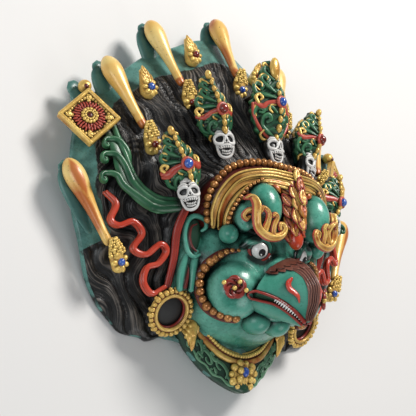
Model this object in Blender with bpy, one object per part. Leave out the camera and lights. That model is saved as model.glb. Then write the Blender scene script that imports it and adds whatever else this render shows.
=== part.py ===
"""Garuda wall mask, lying on its back: one hollow resin casting with all its ornament.

Metres, +Z out of the face, +Y to the crown, X across. The origin is on the flat back,
midway between the top of the crown rim and the tip of the collar. Sizes below are in
millimetres and are turned into metres by mm() or MM. Heights are counted from the board's
level at its sides, which is BOARD_LIFT above the plane that the back rests on.
"""

import math

import bmesh
import bpy
from mathutils import Matrix, Vector

MM = 0.001
BOARD_LIFT = 7

# The board that carries the hair: half its outline as (degrees above the side, radius).
RIM_CENTRE_Y = -10
RIM_OUTLINE = (
    (-90, 95), (-79, 88.5), (-72, 83.5), (-64, 77.5), (-60, 78), (-54, 85.5), (-44, 93),
    (-34, 94.3), (-20, 93), (0, 95), (22, 97), (46, 91.5), (68, 93), (90, 101),
)
# Its front edge stands at these heights: the cheek flaps sweep back, crown and collar forward.
RIM_EDGE = ((-90, 8.5), (-72, 5), (-58, -3), (-44, -4.8), (-30, -3.5), (-12, 1.5), (0, 3.3), (90, 7.5))
RIM_WALL = 3.2
RIM_UNDERCUT = 1.2
RIM_STEPS = 72

# Hair: a low cone of waved locks from the rim up to the crown of the head.
HAIR_TOP_ABOVE = 50
HAIR_TOP_BELOW = 35
HAIR_RINGS = (0.14, 0.36, 0.5, 0.62, 0.73, 0.82, 0.91, 1.0)
LOCK_COUNT = 24
LOCK_HEIGHT = 1.7

# Hollow back, open where the wearer's face would be.
HOLLOW_SHARE = 0.83
HOLLOW_DEPTH = 36
HOLLOW_RINGS = (0.35, 0.65, 0.87, 1.0)
HOLLOW_STEPS = 30
HOLLOW_BELOW = 4

# Clubs laid on the board: bulb end on the rim, slim end towards the face.
CLUBS = (
    ((100.3, 0.5, 6.5), (80.5, -40.5, 10.5)),
    ((78.9, 57.5, 10.5), (65, 20.5, 20.5)),
    ((49.2, 87, 10.5), (38.5, 50, 21)),
    ((0, 103.5, 10.5), (0, 64, 24)),
)
CLUB_PROFILE = (
    (0, 1.2), (0.06, 3.9), (0.18, 5.4), (0.34, 4.9), (0.6, 3.1), (1.16, 2.5),
)
CLUB_SEAT = (1.5, 8.5)
CLUB_SIDES = 7
CLUB_FLOWERS = ((77.3, -49, 12.5), (62.9, 12.5, 24), (36, 41.5, 24), (0, 57, 26.5))
LOBE_RADIUS = 6.8
LOBE_THICK = 5
LOBES = ((97.4, -4.5, 4.6), (77.2, 52.2, 6.2), (47.8, 82, 7.6), (0, 98.2, 8), (91.5, 38, 5.5))
SMALL_FLOWERS = ((57.3, 45.6, 16.5), (24.8, 73, 16.5))
FLOWER_SEAT = 7

# Square plaque at each side.
PLATE_CENTRE = (88, 24, 8)
PLATE_SIDE = 20.5
PLATE_NORMAL = (0.36, -0.22, 0.91)
PLATE_EDGE = (0.72, 0.68, -0.12)

# Crown leaves: middle, then the two on each side: (foot, tip, half width, outward tilt).
LEAVES = (
    ((0, 18, 43), (0, 62.5, 48), 14, 0),
    ((31, 16, 38), (41.4, 47, 42), 13.5, 12),
    ((52, -11.5, 32), (65, 15, 35), 12, 20),
)
LEAF_OUTLINE = ((0, 0.4), (0.22, 0.85), (0.42, 1), (0.6, 0.78), (0.82, 0.36), (1, 0.12))
LEAF_RIDGE = 8
LEAF_THICK = 3.5
LEAF_SEAT_SHARE = 0.5
LEAF_SEAT_DEPTH = (14, 28)
GEM_SHARE = 0.44
LEAF_ARM = ((0.1, 1, 0), (0.6, 5, -1.2), (0.9, 7, 2.5))
SKULLS = ((0, 12, 46), (28.8, 10.5, 42.5), (49.5, -16.5, 36))
SKULL_RADII = (6.4, 8.4, 5.6)
JAW_NARROWING = 0.3

# Head and face.
HEAD_CENTRE = (0, -41.6, 2.4)
HEAD_RADII = (46, 42, 43)
FOREHEAD_BALL = ((20, -20.3, 50), (12, 12.5, 11))
TEMPLE_BALL = ((34, -36, 39), 5.4)
EYE_BALL = ((16.9, -43.7, 44.5), 5.2)
CHEEK_BALL = ((21, -59.5, 30.5), (14, 14, 14))
JOWL_BALL = ((16.5, -75.5, 34), 5.6)
CHIN = ((0, -70, 24), (21, 11.5, 15))
BROW_BRIDGE = ((0, -38, 38), (22, 16, 14))

# Beak: ridge, lip and half width at even steps from the brow to the tip.
BEAK_RIDGE = ((-45, 49), (-51.5, 57.5), (-58, 62.3), (-65, 64.6), (-71.5, 64), (-76.5, 61.5), (-79.5, 57.5))
BEAK_LIP = ((-66, 45), (-65.6, 49.5), (-66.6, 53), (-69, 55.5), (-72, 57), (-75, 57.3), (-78.5, 56))
BEAK_HALF_WIDTH = (27, 23.5, 19, 14.5, 10, 5.5, 1.2)
JAW_LIP = ((-67.5, 42), (-69, 44.5), (-70.5, 47), (-73, 49.5), (-76, 51.5), (-78, 52.5))
JAW_UNDER = ((-74, 30), (-77, 33), (-77.5, 37), (-76.5, 41), (-77, 45), (-78, 49.5))
JAW_HALF_WIDTH = (25, 20.5, 15.5, 10.5, 6, 1.5)

# Gold band over the brow and the beads outside it.
BAND_PATH = ((37, -33, 34), (39.5, -23.5, 38), (38, -14.5, 43), (31.5, -7, 49), (18, -4.5, 55), (0, -5, 57.5))
BAND_RADIUS = 2.6
BAND_INNER_SHIFT = 4.4
BEAD_PATH = ((40, -27, 33), (42, -17, 36), (38.5, -7, 41), (31, 0, 45.5), (17, 3, 50), (0, 3, 51.5))
BEAD_RADIUS = 1.7
BEADS_A_SIDE = 19
BAND_SEAT = 17
CHEEK_BEAD_PATH = (
    (24.5, -40.8, 39), (31.5, -45, 34.5), (36.2, -51, 28), (36.2, -58, 24.5), (33.2, -64.5, 24), (28, -70, 26),
    (20, -73.5, 30),
)
CHEEK_BEADS = 11
CHEEK_BEAD_RADIUS = 2.6
SMALL_BEAD = 2

# Ears, rings and ribbons.
EAR_PATH = (
    (39, -38, 32), (36.5, -32, 33.5), (38.5, -25, 33), (44, -22.5, 30), (48.5, -27, 27.5),
    (48, -36, 24.5), (45.5, -46, 22.5), (44, -55, 20),
)
EAR_RADII = (1.6, 2, 2.2, 2.3, 2.6, 3.6, 4.2, 3)
EAR_SEAT = 11
EARRING_CENTRE = (47.4, -69, 13)
EARRING_NORMAL = (0.15, -0.55, 0.82)
EARRING_RADIUS = 9.6
EARRING_THICK = 2.5
EARRING_BEADS = 18
RIBBON_PATH = (
    (85, -15, 12), (79.5, -20.5, 14.5), (81.5, -28, 13.5), (78, -31, 15.5), (71.5, -28.8, 18),
    (66.8, -34, 18.5), (70, -40.8, 15.5), (64.5, -43.8, 17.5), (58.5, -38.8, 21), (54.5, -41.5, 21),
    (57.5, -47.3, 18), (62.5, -49.5, 15.5), (63.2, -56, 13.5), (58.5, -61, 13.5), (53, -58, 16),
)
RIBBON_RADIUS = 1.9
RIBBON_SEAT = 6
STRAND_PATH = ((50, -22.5, 31), (52, -32.5, 26), (50.5, -45.5, 20.5), (51.5, -58, 16))
STRAND_RADIUS = 2.2
SCARF_PATH = (
    (80, 17.5, 14.5), (77, 6, 16), (77, -3, 17), (74, -11, 19), (69.5, -19, 22.5), (62.5, -23.5, 26),
    (53, -23, 30),
)
SCARF_RADII = (3.4, 4.6, 4.8, 4.4, 3.8, 3.4, 3)
SCARF_CURLS = ((82, 12.5, 13.5), (82.3, 1.3, 13.8), (81.8, -8.3, 14.2))
SCARF_CURL_RADIUS = 3.6

# Brow ornament.
BROW_CURLS = (
    (((30.5, -19, 52.5), (28, -25, 56.5), (28.5, -31, 56), (26.5, -36.5, 54.5), (21, -38.8, 55), (15, -38.2, 56),
      (10.5, -34.5, 58), (13.5, -32.5, 58)), (1, 1.8, 2.3, 2.6, 2.8, 2.5, 1.9, 1.1)),
    (((25, -37, 55), (23, -32.5, 58.5), (24.5, -28.8, 60), (27, -27, 60)), (1.6, 1.5, 1.3, 0.9)),
    (((19, -37, 56), (20, -32.5, 59.5), (17, -29.5, 60)), (1.5, 1.3, 0.9)),
)
FLAME_PATH = ((0, -4, 57), (0, -12, 59), (0, -21, 58.5), (0, -30, 56.5), (0, -38.5, 53.5))
FLAME_RADII = (1.2, 4, 3.6, 3.8, 3.2)
FLAME_PETALS = ((3.6, -13, 59), (4, -20, 58.5), (4.2, -27, 56.5))
CHEEK_FLOWER = ((30.5, -61.5, 41), 4.6)

# Collar under the chin.
COLLAR_PATH = ((36, -70, 17), (31.5, -76, 14.5), (24, -81.5, 13), (12.5, -86.5, 12.5), (0, -88.5, 12.5))
COLLAR_RADIUS = 1.9
COLLAR_OUTER_SHIFT = 4
COLLAR_FLAME = (35.5, -78, 14.5)
COLLAR_FLOWER = (0, -96, 12)
COLLAR_FLOWER_RADIUS = 8

# The share of the joined skin's faces that is kept: the rest are slivers where forms meet.
FACES_KEPT = 0.66

OUTWARDS = Vector((0, 0, 1))
forms = None
cutters = None


def mm(point, side=1):
    """A place in metres from millimetres, on the right (side 1) or the left (side -1)."""
    return Vector((side * point[0], point[1], point[2] + BOARD_LIFT)) * MM


def ease(knots, at):
    """Reads a table of (place, value) with a smooth step between its rows."""
    for (low, first), (high, second) in zip(knots, knots[1:]):
        if at <= high:
            share = (at - low) / (high - low)
            return first + (second - first) * (3 - 2 * share) * share * share
    return knots[-1][1]


def curve_through(points, per_span):
    """A Catmull-Rom curve through hand-set points, as a list of points."""
    ends = [2 * points[0] - points[1]] + points + [2 * points[-1] - points[-2]]
    found = []
    for i in range(len(points) - 1):
        a, b, c, d = ends[i : i + 4]
        for step in range(per_span):
            t = step / per_span
            found.append(
                0.5 * (2 * b + (c - a) * t + (2 * a - 5 * b + 4 * c - d) * t * t
                       + (3 * b - a - 3 * c + d) * t * t * t)
            )
    return found + [points[-1]]


def paint(name, colour, roughness, metallic=0.0):
    material = bpy.data.materials.get(name)
    if material is None:
        material = bpy.data.materials.new(name)
        material.use_nodes = True
        shader = material.node_tree.nodes["Principled BSDF"]
        shader.inputs["Base Color"].default_value = (*colour, 1)
        shader.inputs["Roughness"].default_value = roughness
        shader.inputs["Metallic"].default_value = metallic
    return material


def teal():
    return paint("teal_paint", (0.06, 0.31, 0.24), 0.35)


def green():
    return paint("green_paint", (0.03, 0.12, 0.05), 0.4)


def black():
    return paint("hair_paint", (0.025, 0.022, 0.02), 0.5)


def gold():
    return paint("gold_paint", (0.72, 0.42, 0.1), 0.35, 0.4)


def red():
    return paint("red_paint", (0.4, 0.04, 0.02), 0.4)


def bone():
    return paint("bone_paint", (0.6, 0.57, 0.54), 0.5)


def add_form(name, bm, material):
    """Closes a bmesh into a named form of the casting, with its faces pointing out."""
    bmesh.ops.recalc_face_normals(bm, faces=bm.faces)
    mesh = bpy.data.meshes.new(name)
    bm.to_mesh(mesh)
    bm.free()
    mesh.materials.append(material)
    form = bpy.data.objects.new(name, mesh)
    form.hide_render = True
    form.display_type = "WIRE"
    forms.objects.link(form)
    return form


def turned_to(normal, across=None):
    """A rotation that takes +Z to normal and, where it is given, +X along across."""
    z = Vector(normal).normalized()
    x = Vector(across if across else (1, 0, 0))
    x = (x - z * x.dot(z)).normalized()
    return Matrix((x, z.cross(x), z)).transposed().to_4x4()


def ball(name, centre, radii, material, rows=6, columns=10, turn=None):
    bm = bmesh.new()
    bmesh.ops.create_uvsphere(bm, u_segments=columns, v_segments=rows, radius=1)
    place = Matrix.Translation(centre) @ (turn or Matrix())
    bmesh.ops.transform(bm, matrix=place @ Matrix.Diagonal((*(Vector(radii) * MM), 1)), verts=bm.verts)
    return add_form(name, bm, material)


def bead(name, centre, radius, material):
    """A bead as twelve-cornered ball, or as an eight-faced one where it is very small."""
    bm = bmesh.new()
    place = Matrix.Translation(centre)
    if radius < SMALL_BEAD:
        bmesh.ops.create_uvsphere(bm, u_segments=4, v_segments=2, radius=radius * 1.2 * MM, matrix=place)
    else:
        bmesh.ops.create_icosphere(bm, subdivisions=1, radius=radius * MM, matrix=place)
    return add_form(name, bm, material)


def rosette(name, centre, radius, material, turn=None, petals=6, seat=0):
    """A flower head: a low cone whose rim runs in and out once for each petal, its foot sunk by the seat."""
    bm = bmesh.new()
    bmesh.ops.create_cone(
        bm, cap_ends=True, segments=2 * petals, radius1=radius * MM, radius2=radius * 0.5 * MM,
        depth=radius * 0.9 * MM,
    )
    for vertex in bm.verts:
        step = round(math.atan2(vertex.co.y, vertex.co.x) / math.pi * petals)
        if step % 2:
            vertex.co.xy *= 0.74
        if vertex.co.z < 0:
            vertex.co.z -= seat * MM
    bmesh.ops.transform(bm, matrix=Matrix.Translation(centre) @ (turn or Matrix()), verts=bm.verts)
    return add_form(name, bm, material)


def tube(name, points, radii, material, per_span=2, sides=6, seat=0):
    """A rod through the points, as thick at each of them as its radius, its underside sunk by the seat."""
    curve = bpy.data.curves.new(name, "CURVE")
    curve.dimensions = "3D"
    curve.bevel_depth = MM
    curve.bevel_resolution = (sides - 4) // 2
    curve.use_fill_caps = True
    path = curve_through(points, per_span)
    widths = [w.x for w in curve_through([Vector((r, 0, 0)) for r in radii], per_span)]
    spline = curve.splines.new("POLY")
    spline.points.add(len(path) - 1)
    for point, place, width in zip(spline.points, path, widths):
        point.co = (*place, 1)
        point.radius = width
    drawn = bpy.data.objects.new(name + "_line", curve)
    bpy.context.scene.collection.objects.link(drawn)
    bpy.context.view_layer.update()
    graph = bpy.context.evaluated_depsgraph_get()
    mesh = bpy.data.meshes.new_from_object(drawn.evaluated_get(graph))
    bm = bmesh.new()
    bm.from_mesh(mesh)
    bmesh.ops.remove_doubles(bm, verts=bm.verts, dist=0.00001)
    for vertex in bm.verts if seat else ():
        nearest = min(path, key=lambda point: (point - vertex.co).length)
        if vertex.co.z < nearest.z - 0.0003:
            vertex.co.z -= seat * MM
    bpy.data.objects.remove(drawn)
    return add_form(name, bm, material)


def loft(name, rings, material):
    """Joins rings of like count into one closed body with flat ends."""
    bm = bmesh.new()
    rows = [[bm.verts.new(point) for point in ring] for ring in rings]
    count = len(rows[0])
    for low, high in zip(rows, rows[1:]):
        for i in range(count):
            j = (i + 1) % count
            bm.faces.new((low[i], low[j], high[j], high[i]))
    bm.faces.new(rows[0])
    bm.faces.new(rows[-1])
    bmesh.ops.triangulate(bm, faces=bm.faces)
    return add_form(name, bm, material)


def rim_radius(angle):
    """Distance from the middle of the board to its edge, in millimetres."""
    height = math.degrees(math.asin(max(-1.0, min(1.0, math.sin(angle)))))
    return ease(RIM_OUTLINE, height)


def rim_edge(angle):
    """Height of the board's front edge."""
    return ease(RIM_EDGE, math.degrees(math.asin(max(-1.0, min(1.0, math.sin(angle))))))


def hair_height(angle, share):
    """Height of the hair at a share of the way out to the rim, without its locks."""
    lift = ease(((-0.5, HAIR_TOP_BELOW), (0.5, HAIR_TOP_ABOVE)), max(-0.5, min(0.5, math.sin(angle))))
    edge = rim_edge(angle)
    return edge + (lift - edge) * (1 - share) ** 0.93


def lock_height(angle, share):
    """Waved locks that fade out towards the bare rim."""
    fade = max(0.0, min(1.0, (0.97 - share) / 0.15))
    wave = LOCK_COUNT * angle + 2.2 * math.sin(7 * share + 2 * math.sin(angle))
    return LOCK_HEIGHT * fade * math.cos(wave)


def polar(angle, radius, height):
    return mm((radius * math.cos(angle), RIM_CENTRE_Y + radius * math.sin(angle), height))


def board_and_hair():
    """Rings from the back plane, out under the rim, up its wall and in over the hair."""
    angles = [2 * math.pi * i / RIM_STEPS for i in range(RIM_STEPS)]
    back, wall = [], []
    for angle in angles:
        foot = max(rim_edge(angle) - RIM_WALL, 0.6 - BOARD_LIFT)
        inset = 0.4 + RIM_UNDERCUT * (foot + BOARD_LIFT)
        back.append(polar(angle, rim_radius(angle) - inset, -BOARD_LIFT))
        wall.append(polar(angle, rim_radius(angle) - 0.3, foot))
    rings = [back, wall]
    for share in reversed(HAIR_RINGS):
        ring = []
        for angle in angles:
            height = hair_height(angle, share) + lock_height(angle, share)
            ring.append(polar(angle, share * rim_radius(angle), height))
        rings.append(ring)
    return loft("board_and_hair", rings, black())


def hollow():
    """The space behind the face, as a low dome that stands on the back plane."""
    angles = [2 * math.pi * i / HOLLOW_STEPS for i in range(HOLLOW_STEPS)]
    rings = [[polar(angle, HOLLOW_SHARE * rim_radius(angle), -BOARD_LIFT - HOLLOW_BELOW) for angle in angles]]
    for share in reversed(HOLLOW_RINGS):
        height = HOLLOW_DEPTH * (1 - share ** 1.6) - BOARD_LIFT
        rings.append([polar(angle, HOLLOW_SHARE * rim_radius(angle) * share, height) for angle in angles])
    return loft("hollow", rings, teal())


def ground():
    """Everything under the plane of the back."""
    bm = bmesh.new()
    bmesh.ops.create_cube(bm, size=1, matrix=Matrix.Translation((0, 0, -0.05)) @ Matrix.Diagonal((0.4, 0.4, 0.1, 1)))
    return add_form("ground", bm, teal())


def rim_lobe(name, place, side):
    """The round end of the board behind a club, its foot drawn in like the rest of the rim."""
    bm = bmesh.new()
    bmesh.ops.create_cone(
        bm, cap_ends=True, segments=12, radius1=(LOBE_RADIUS - 2) * MM, radius2=LOBE_RADIUS * MM,
        depth=LOBE_THICK * MM,
    )
    middle = (place[0], place[1], place[2] - LOBE_THICK / 2)
    bmesh.ops.transform(bm, matrix=Matrix.Translation(mm(middle, side)), verts=bm.verts)
    return add_form(name, bm, teal())


def club(name, tip, end, side):
    """A turned club: its profile is spun about the line from its bulb to its slim end."""
    start, stop = mm(tip, side), mm(end, side)
    axis = stop - start
    turn = turned_to(axis)
    rings = []
    for share, radius in CLUB_PROFILE:
        centre = start + axis * share
        ring = [turn @ Vector((math.cos(a), math.sin(a), 0)) * radius * MM
                for a in (math.pi * k / CLUB_SIDES * 2 for k in range(CLUB_SIDES))]
        sink = OUTWARDS * (CLUB_SEAT[0] + (CLUB_SEAT[1] - CLUB_SEAT[0]) * share) * MM
        rings.append([centre + point - (sink if point.z < -0.3 * radius * MM else OUTWARDS * 0) for point in ring])
    return loft(name, rings, gold())


def plate(side):
    normal = Vector((side * PLATE_NORMAL[0], *PLATE_NORMAL[1:]))
    edge = Vector((side * PLATE_EDGE[0], *PLATE_EDGE[1:]))
    turn = turned_to(normal, edge)
    centre = mm(PLATE_CENTRE, side)
    tag = "right" if side > 0 else "left"
    bm = bmesh.new()
    bmesh.ops.create_cube(bm, size=1)
    size = Matrix.Diagonal((PLATE_SIDE * MM, PLATE_SIDE * MM, 8 * MM, 1))
    bmesh.ops.transform(bm, matrix=Matrix.Translation(centre - turn @ Vector((0, 0, 0.004))) @ turn @ size,
                        verts=bm.verts)
    add_form("plate_" + tag, bm, gold())
    for name, radius, thick, material in (("petals", 8, 1.1, red()), ("disc", 4.6, 1.9, gold())):
        bm = bmesh.new()
        bmesh.ops.create_cone(bm, cap_ends=True, segments=14, radius1=radius * MM,
                              radius2=radius * 0.86 * MM, depth=2 * thick * MM)
        bmesh.ops.transform(bm, matrix=Matrix.Translation(centre) @ turn, verts=bm.verts)
        add_form("plate_" + name + "_" + tag, bm, material)
    bead("plate_ball_" + tag, mm((92.5, 39, 8.5), side), 3.6, gold())


def leaf(name, foot, tip, half_width, tilt, side):
    """A leaf with a ridge down its middle, carried from the hair by a narrower foot under it."""
    start, stop = mm(foot, side), mm(tip, side)
    along = stop - start
    turn = Matrix.Rotation(math.radians(side * tilt), 3, along)
    across = turn @ along.normalized().cross(OUTWARDS)
    up = across.cross(along).normalized()
    rings = []
    for share, width in LEAF_OUTLINE:
        centre = start + along * share
        reach = across * width * half_width * MM
        drop = up * LEAF_THICK * MM
        ridge = up * LEAF_RIDGE * (0.25 + 0.75 * width) * MM
        shallow, deep = LEAF_SEAT_DEPTH
        sink = OUTWARDS * (shallow + (deep - shallow) * share) * MM
        seat = reach * LEAF_SEAT_SHARE
        rings.append([centre - reach, centre + ridge, centre + reach, centre + seat - drop,
                      centre + seat - sink, centre - seat - sink, centre - seat - drop])
    loft(name, rings, green())
    gem_place = start + along * GEM_SHARE + up * LEAF_RIDGE * MM
    ball(name + "_gem", gem_place, (3, 3, 2.4), red(), rows=4, columns=6)
    for way in (-1, 1):
        arm = [gem_place + across * way * r * half_width * MM - up * d * MM + along.normalized() * f * MM
               for r, d, f in LEAF_ARM]
        tube(name + ("_arm_a" if way < 0 else "_arm_b"), arm, (1.6, 1.6, 1.3), red(), per_span=1, sides=4)


def skull(name, place, side):
    """A skull whose lower half narrows to the jaw."""
    form = ball(name, mm(place, side), SKULL_RADII, bone(), rows=6, columns=7)
    middle = mm(place, side)
    for vertex in form.data.vertices:
        below = (middle.y - vertex.co.y) / (SKULL_RADII[1] * MM)
        if below > 0:
            vertex.co.x = middle.x + (vertex.co.x - middle.x) * (1 - JAW_NARROWING * below)


def head():
    ball("head", mm(HEAD_CENTRE), HEAD_RADII, teal(), rows=10, columns=18)
    ball("brow_bridge", mm(BROW_BRIDGE[0]), BROW_BRIDGE[1], teal(), rows=6, columns=10)
    ball("chin", mm(CHIN[0]), CHIN[1], teal(), rows=6, columns=10)
    for side, tag in ((1, "right"), (-1, "left")):
        for name, (place, radius), rows in (
            ("forehead_ball", FOREHEAD_BALL, 7), ("temple_ball", TEMPLE_BALL, 4),
            ("eye_ball", EYE_BALL, 5), ("jowl_ball", JOWL_BALL, 5), ("cheek_ball", CHEEK_BALL, 7),
        ):
            radii = radius if isinstance(radius, tuple) else (radius, radius, radius)
            ball(name + "_" + tag, mm(place, side), radii, teal(), rows=rows, columns=rows + 4)


def beak():
    """Upper beak: each section runs from the ridge round to both lips and back under the palate."""
    rings = []
    for (ry, rz), (ly, lz), width in zip(BEAK_RIDGE, BEAK_LIP, BEAK_HALF_WIDTH):
        ring = []
        for k in range(-4, 5):
            turn = math.pi * k / 8
            drop = 1 - math.cos(turn)
            ring.append(mm((width * math.sin(turn), ry + (ly - ry) * drop, rz + (lz - rz) * drop)))
        ring.append(mm((width * 0.5, ly, lz - 1.5)))
        ring.append(mm((-width * 0.5, ly, lz - 1.5)))
        rings.append(ring)
    loft("beak", rings, teal())
    rings = []
    for (ly, lz), (uy, uz), width in zip(JAW_LIP, JAW_UNDER, JAW_HALF_WIDTH):
        top = [(-width, ly, lz), (0, ly + 1, lz - 1), (width, ly, lz)]
        under = [(width * 0.8, (ly + uy) / 2 - 1, (lz + uz) / 2), (0, uy, uz),
                 (-width * 0.8, (ly + uy) / 2 - 1, (lz + uz) / 2)]
        rings.append([mm(point) for point in top + under])
    loft("lower_jaw", rings, teal())


def bead_row(name, path, count, radius, side, material, skip_last=False):
    line = curve_through([mm(point, side) for point in path], 12)
    lengths = [0]
    for a, b in zip(line, line[1:]):
        lengths.append(lengths[-1] + (b - a).length)
    for k in range(count - skip_last):
        want = lengths[-1] * k / (count - 1)
        i = max(1, next(n for n, length in enumerate(lengths) if length >= want - 1e-9))
        share = (want - lengths[i - 1]) / (lengths[i] - lengths[i - 1])
        bead(f"{name}_{k}", line[i - 1].lerp(line[i], share), radius, material)


def shifted(path, distance, middle):
    """The path moved level towards a middle point, in millimetres."""
    moved = []
    for x, y, z in path:
        way = Vector((middle[0] - x, middle[1] - y))
        way = way.normalized() * distance
        moved.append((x + way.x, y + way.y, z))
    return moved


def mirrored_path(path):
    """A path that ends on the middle line, run on to the other side."""
    return [mm(point, -1) for point in path] + [mm(point) for point in reversed(path[:-1])]


def band_seat():
    """The wall of the head-dress that carries the band and its outer beads down to the hair."""
    inner = mirrored_path(shifted(BAND_PATH, BAND_INNER_SHIFT, (0, -32)))
    sink = OUTWARDS * BAND_SEAT * MM
    rings = [[a, b, b - sink, a - sink] for a, b in zip(mirrored_path(BEAD_PATH), inner)]
    loft("band_seat", rings, gold())


def band():
    band_seat()
    tube("band_outer", mirrored_path(BAND_PATH), [BAND_RADIUS] * 11, gold(), per_span=2)
    inner = shifted(BAND_PATH, BAND_INNER_SHIFT, (0, -32))
    tube("band_inner", mirrored_path(inner), [BAND_RADIUS] * 11, gold(), per_span=2)
    for side, tag in ((1, "right"), (-1, "left")):
        bead_row("band_bead_" + tag, BEAD_PATH, BEADS_A_SIDE, BEAD_RADIUS, side, gold(), side < 0)
        bead_row("cheek_bead_" + tag, CHEEK_BEAD_PATH, CHEEK_BEADS, CHEEK_BEAD_RADIUS, side, gold())


def brow_ornament():
    for side, tag in ((1, "right"), (-1, "left")):
        for k, (path, radii) in enumerate(BROW_CURLS):
            tube(f"brow_curl_{k}_{tag}", [mm(point, side) for point in path], radii, gold(), per_span=1, sides=4)
        for k, place in enumerate(FLAME_PETALS):
            bead(f"flame_petal_{k}_{tag}", mm(place, side), 3, gold())
        rosette("cheek_flower_" + tag, mm(CHEEK_FLOWER[0], side), CHEEK_FLOWER[1], red(),
                turned_to((side * 0.62, -0.2, 0.76)))
    tube("flame", [mm(point) for point in FLAME_PATH], FLAME_RADII, red(), per_span=2)


def ear(side, tag):
    tube("ear_" + tag, [mm(point, side) for point in EAR_PATH], EAR_RADII, teal(), per_span=1, seat=EAR_SEAT)
    tube("ear_strand_" + tag, [mm(point, side) for point in STRAND_PATH], [STRAND_RADIUS] * 4, red(), sides=4,
         seat=RIBBON_SEAT)
    turn = turned_to((side * EARRING_NORMAL[0], *EARRING_NORMAL[1:]))
    centre = mm(EARRING_CENTRE, side)
    rings = []
    bm = bmesh.new()
    steps = 2 * EARRING_BEADS
    for k in range(steps):
        angle = 2 * math.pi * k / steps
        thick = EARRING_THICK * (1.12 if k % 2 else 0.82)
        ring = []
        for m in range(4):
            spin = math.pi * m / 2
            reach = EARRING_RADIUS + thick * math.cos(spin)
            place = Vector((reach * math.cos(angle), reach * math.sin(angle), thick * math.sin(spin)))
            ring.append(bm.verts.new(centre + turn @ (place * MM)))
        rings.append(ring)
    for k in range(steps):
        for m in range(4):
            a, b = rings[k], rings[(k + 1) % steps]
            bm.faces.new((a[m], a[(m + 1) % 4], b[(m + 1) % 4], b[m]))
    add_form("earring_" + tag, bm, gold())


def ribbons(side, tag):
    tube("ribbon_" + tag, [mm(point, side) for point in RIBBON_PATH], [RIBBON_RADIUS] * len(RIBBON_PATH),
         red(), per_span=2, sides=4, seat=RIBBON_SEAT)
    tube("scarf_" + tag, [mm(point, side) for point in SCARF_PATH], SCARF_RADII, green(), per_span=1,
         seat=RIBBON_SEAT)
    for k, place in enumerate(SCARF_CURLS):
        bead(f"scarf_curl_{k}_{tag}", mm(place, side), SCARF_CURL_RADIUS, green())


def collar():
    path = mirrored_path(COLLAR_PATH)
    tube("collar_inner", path, [COLLAR_RADIUS] * 9, gold(), sides=4)
    outer = mirrored_path(shifted(COLLAR_PATH, -COLLAR_OUTER_SHIFT, (0, -50)))
    tube("collar_outer", [p - OUTWARDS * 0.001 for p in outer], [COLLAR_RADIUS + 0.3] * 9, gold(), sides=4)
    for side, tag in ((1, "right"), (-1, "left")):
        bead("collar_flame_" + tag, mm(COLLAR_FLAME, side), 4.4, gold())
    turn = turned_to((0, -0.35, 0.94))
    rosette("collar_flower", mm(COLLAR_FLOWER), COLLAR_FLOWER_RADIUS, gold(), turn, petals=7)
    ball("collar_gem", mm((0, -96.6, 15.2)), (3.4, 2.4, 2.2), bone(), rows=4, columns=8)


def ornaments():
    for k, (tip, end) in enumerate(CLUBS):
        for side in (1, -1) if tip[0] else (1,):
            tag = f"{k}_right" if side > 0 else f"{k}_left"
            club("club_" + tag, tip, end, side)
            rosette("club_flower_" + tag, mm(CLUB_FLOWERS[k], side), 4.6, gold(), seat=FLOWER_SEAT)
    for side, tag in ((1, "right"), (-1, "left")):
        for k, place in enumerate(SMALL_FLOWERS):
            rosette(f"small_flower_{k}_{tag}", mm(place, side), 5, gold(), petals=5, seat=FLOWER_SEAT)
        plate(side)
        ear(side, tag)
        ribbons(side, tag)
    for k, place in enumerate(LOBES):
        for side in (1, -1) if place[0] else (1,):
            rim_lobe(f"lobe_{k}_{'right' if side > 0 else 'left'}", place, side)
    for k, (foot, tip, half_width, thickness) in enumerate(LEAVES):
        for side in (1, -1) if tip[0] else (1,):
            tag = f"{k}_right" if side > 0 else f"{k}_left"
            leaf("leaf_" + tag, foot, tip, half_width, thickness, side)
            skull("skull_" + tag, SKULLS[k], side)


def fill_pockets(mesh):
    """Keeps the outermost skin: what is left inside it are sealed pockets between the joined forms."""
    bm = bmesh.new()
    bm.from_mesh(mesh)
    skins = []
    unseen = set(bm.verts)
    while unseen:
        skin = [unseen.pop()]
        for vertex in skin:
            found = {edge.other_vert(vertex) for edge in vertex.link_edges} & unseen
            unseen -= found
            skin.extend(found)
        skins.append(skin)
    skins.sort(key=len)
    for skin in skins[:-1]:
        bmesh.ops.delete(bm, geom=skin, context="VERTS")
    bm.to_mesh(mesh)
    bm.free()


def cast(body, name):
    """Joins every form to the board, then cuts the hollow out of the back."""
    tools = (hollow(), ground())
    for tool in tools:
        forms.objects.unlink(tool)
        cutters.objects.link(tool)
    join = body.modifiers.new("join_forms", "BOOLEAN")
    join.operation = "UNION"
    join.operand_type = "COLLECTION"
    join.collection = forms
    join.solver = "MANIFOLD"
    join.material_mode = "TRANSFER"
    for tool in tools:
        cut = body.modifiers.new("cut_" + tool.name, "BOOLEAN")
        cut.operation = "DIFFERENCE"
        cut.object = tool
        cut.solver = "MANIFOLD"
    bpy.context.view_layer.update()
    graph = bpy.context.evaluated_depsgraph_get()
    joined = bpy.data.meshes.new_from_object(body.evaluated_get(graph))
    body.modifiers.clear()
    body.data = joined
    fill_pockets(joined)
    thin = body.modifiers.new("fewer_faces", "DECIMATE")
    thin.ratio = FACES_KEPT
    body.name = name
    joined.name = name


def main():
    global forms, cutters
    for old in list(bpy.data.objects):
        bpy.data.objects.remove(old)
    forms = bpy.data.collections.new("mask_forms")
    cutters = bpy.data.collections.new("mask_cutters")
    finished = bpy.data.collections.new("garuda_mask")
    for group in (forms, cutters, finished):
        bpy.context.scene.collection.children.link(group)
    body = board_and_hair()
    forms.objects.unlink(body)
    finished.objects.link(body)
    body.hide_render = False
    body.display_type = "TEXTURED"
    head()
    beak()
    band()
    brow_ornament()
    collar()
    ornaments()
    cast(body, "mask")


main()
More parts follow.
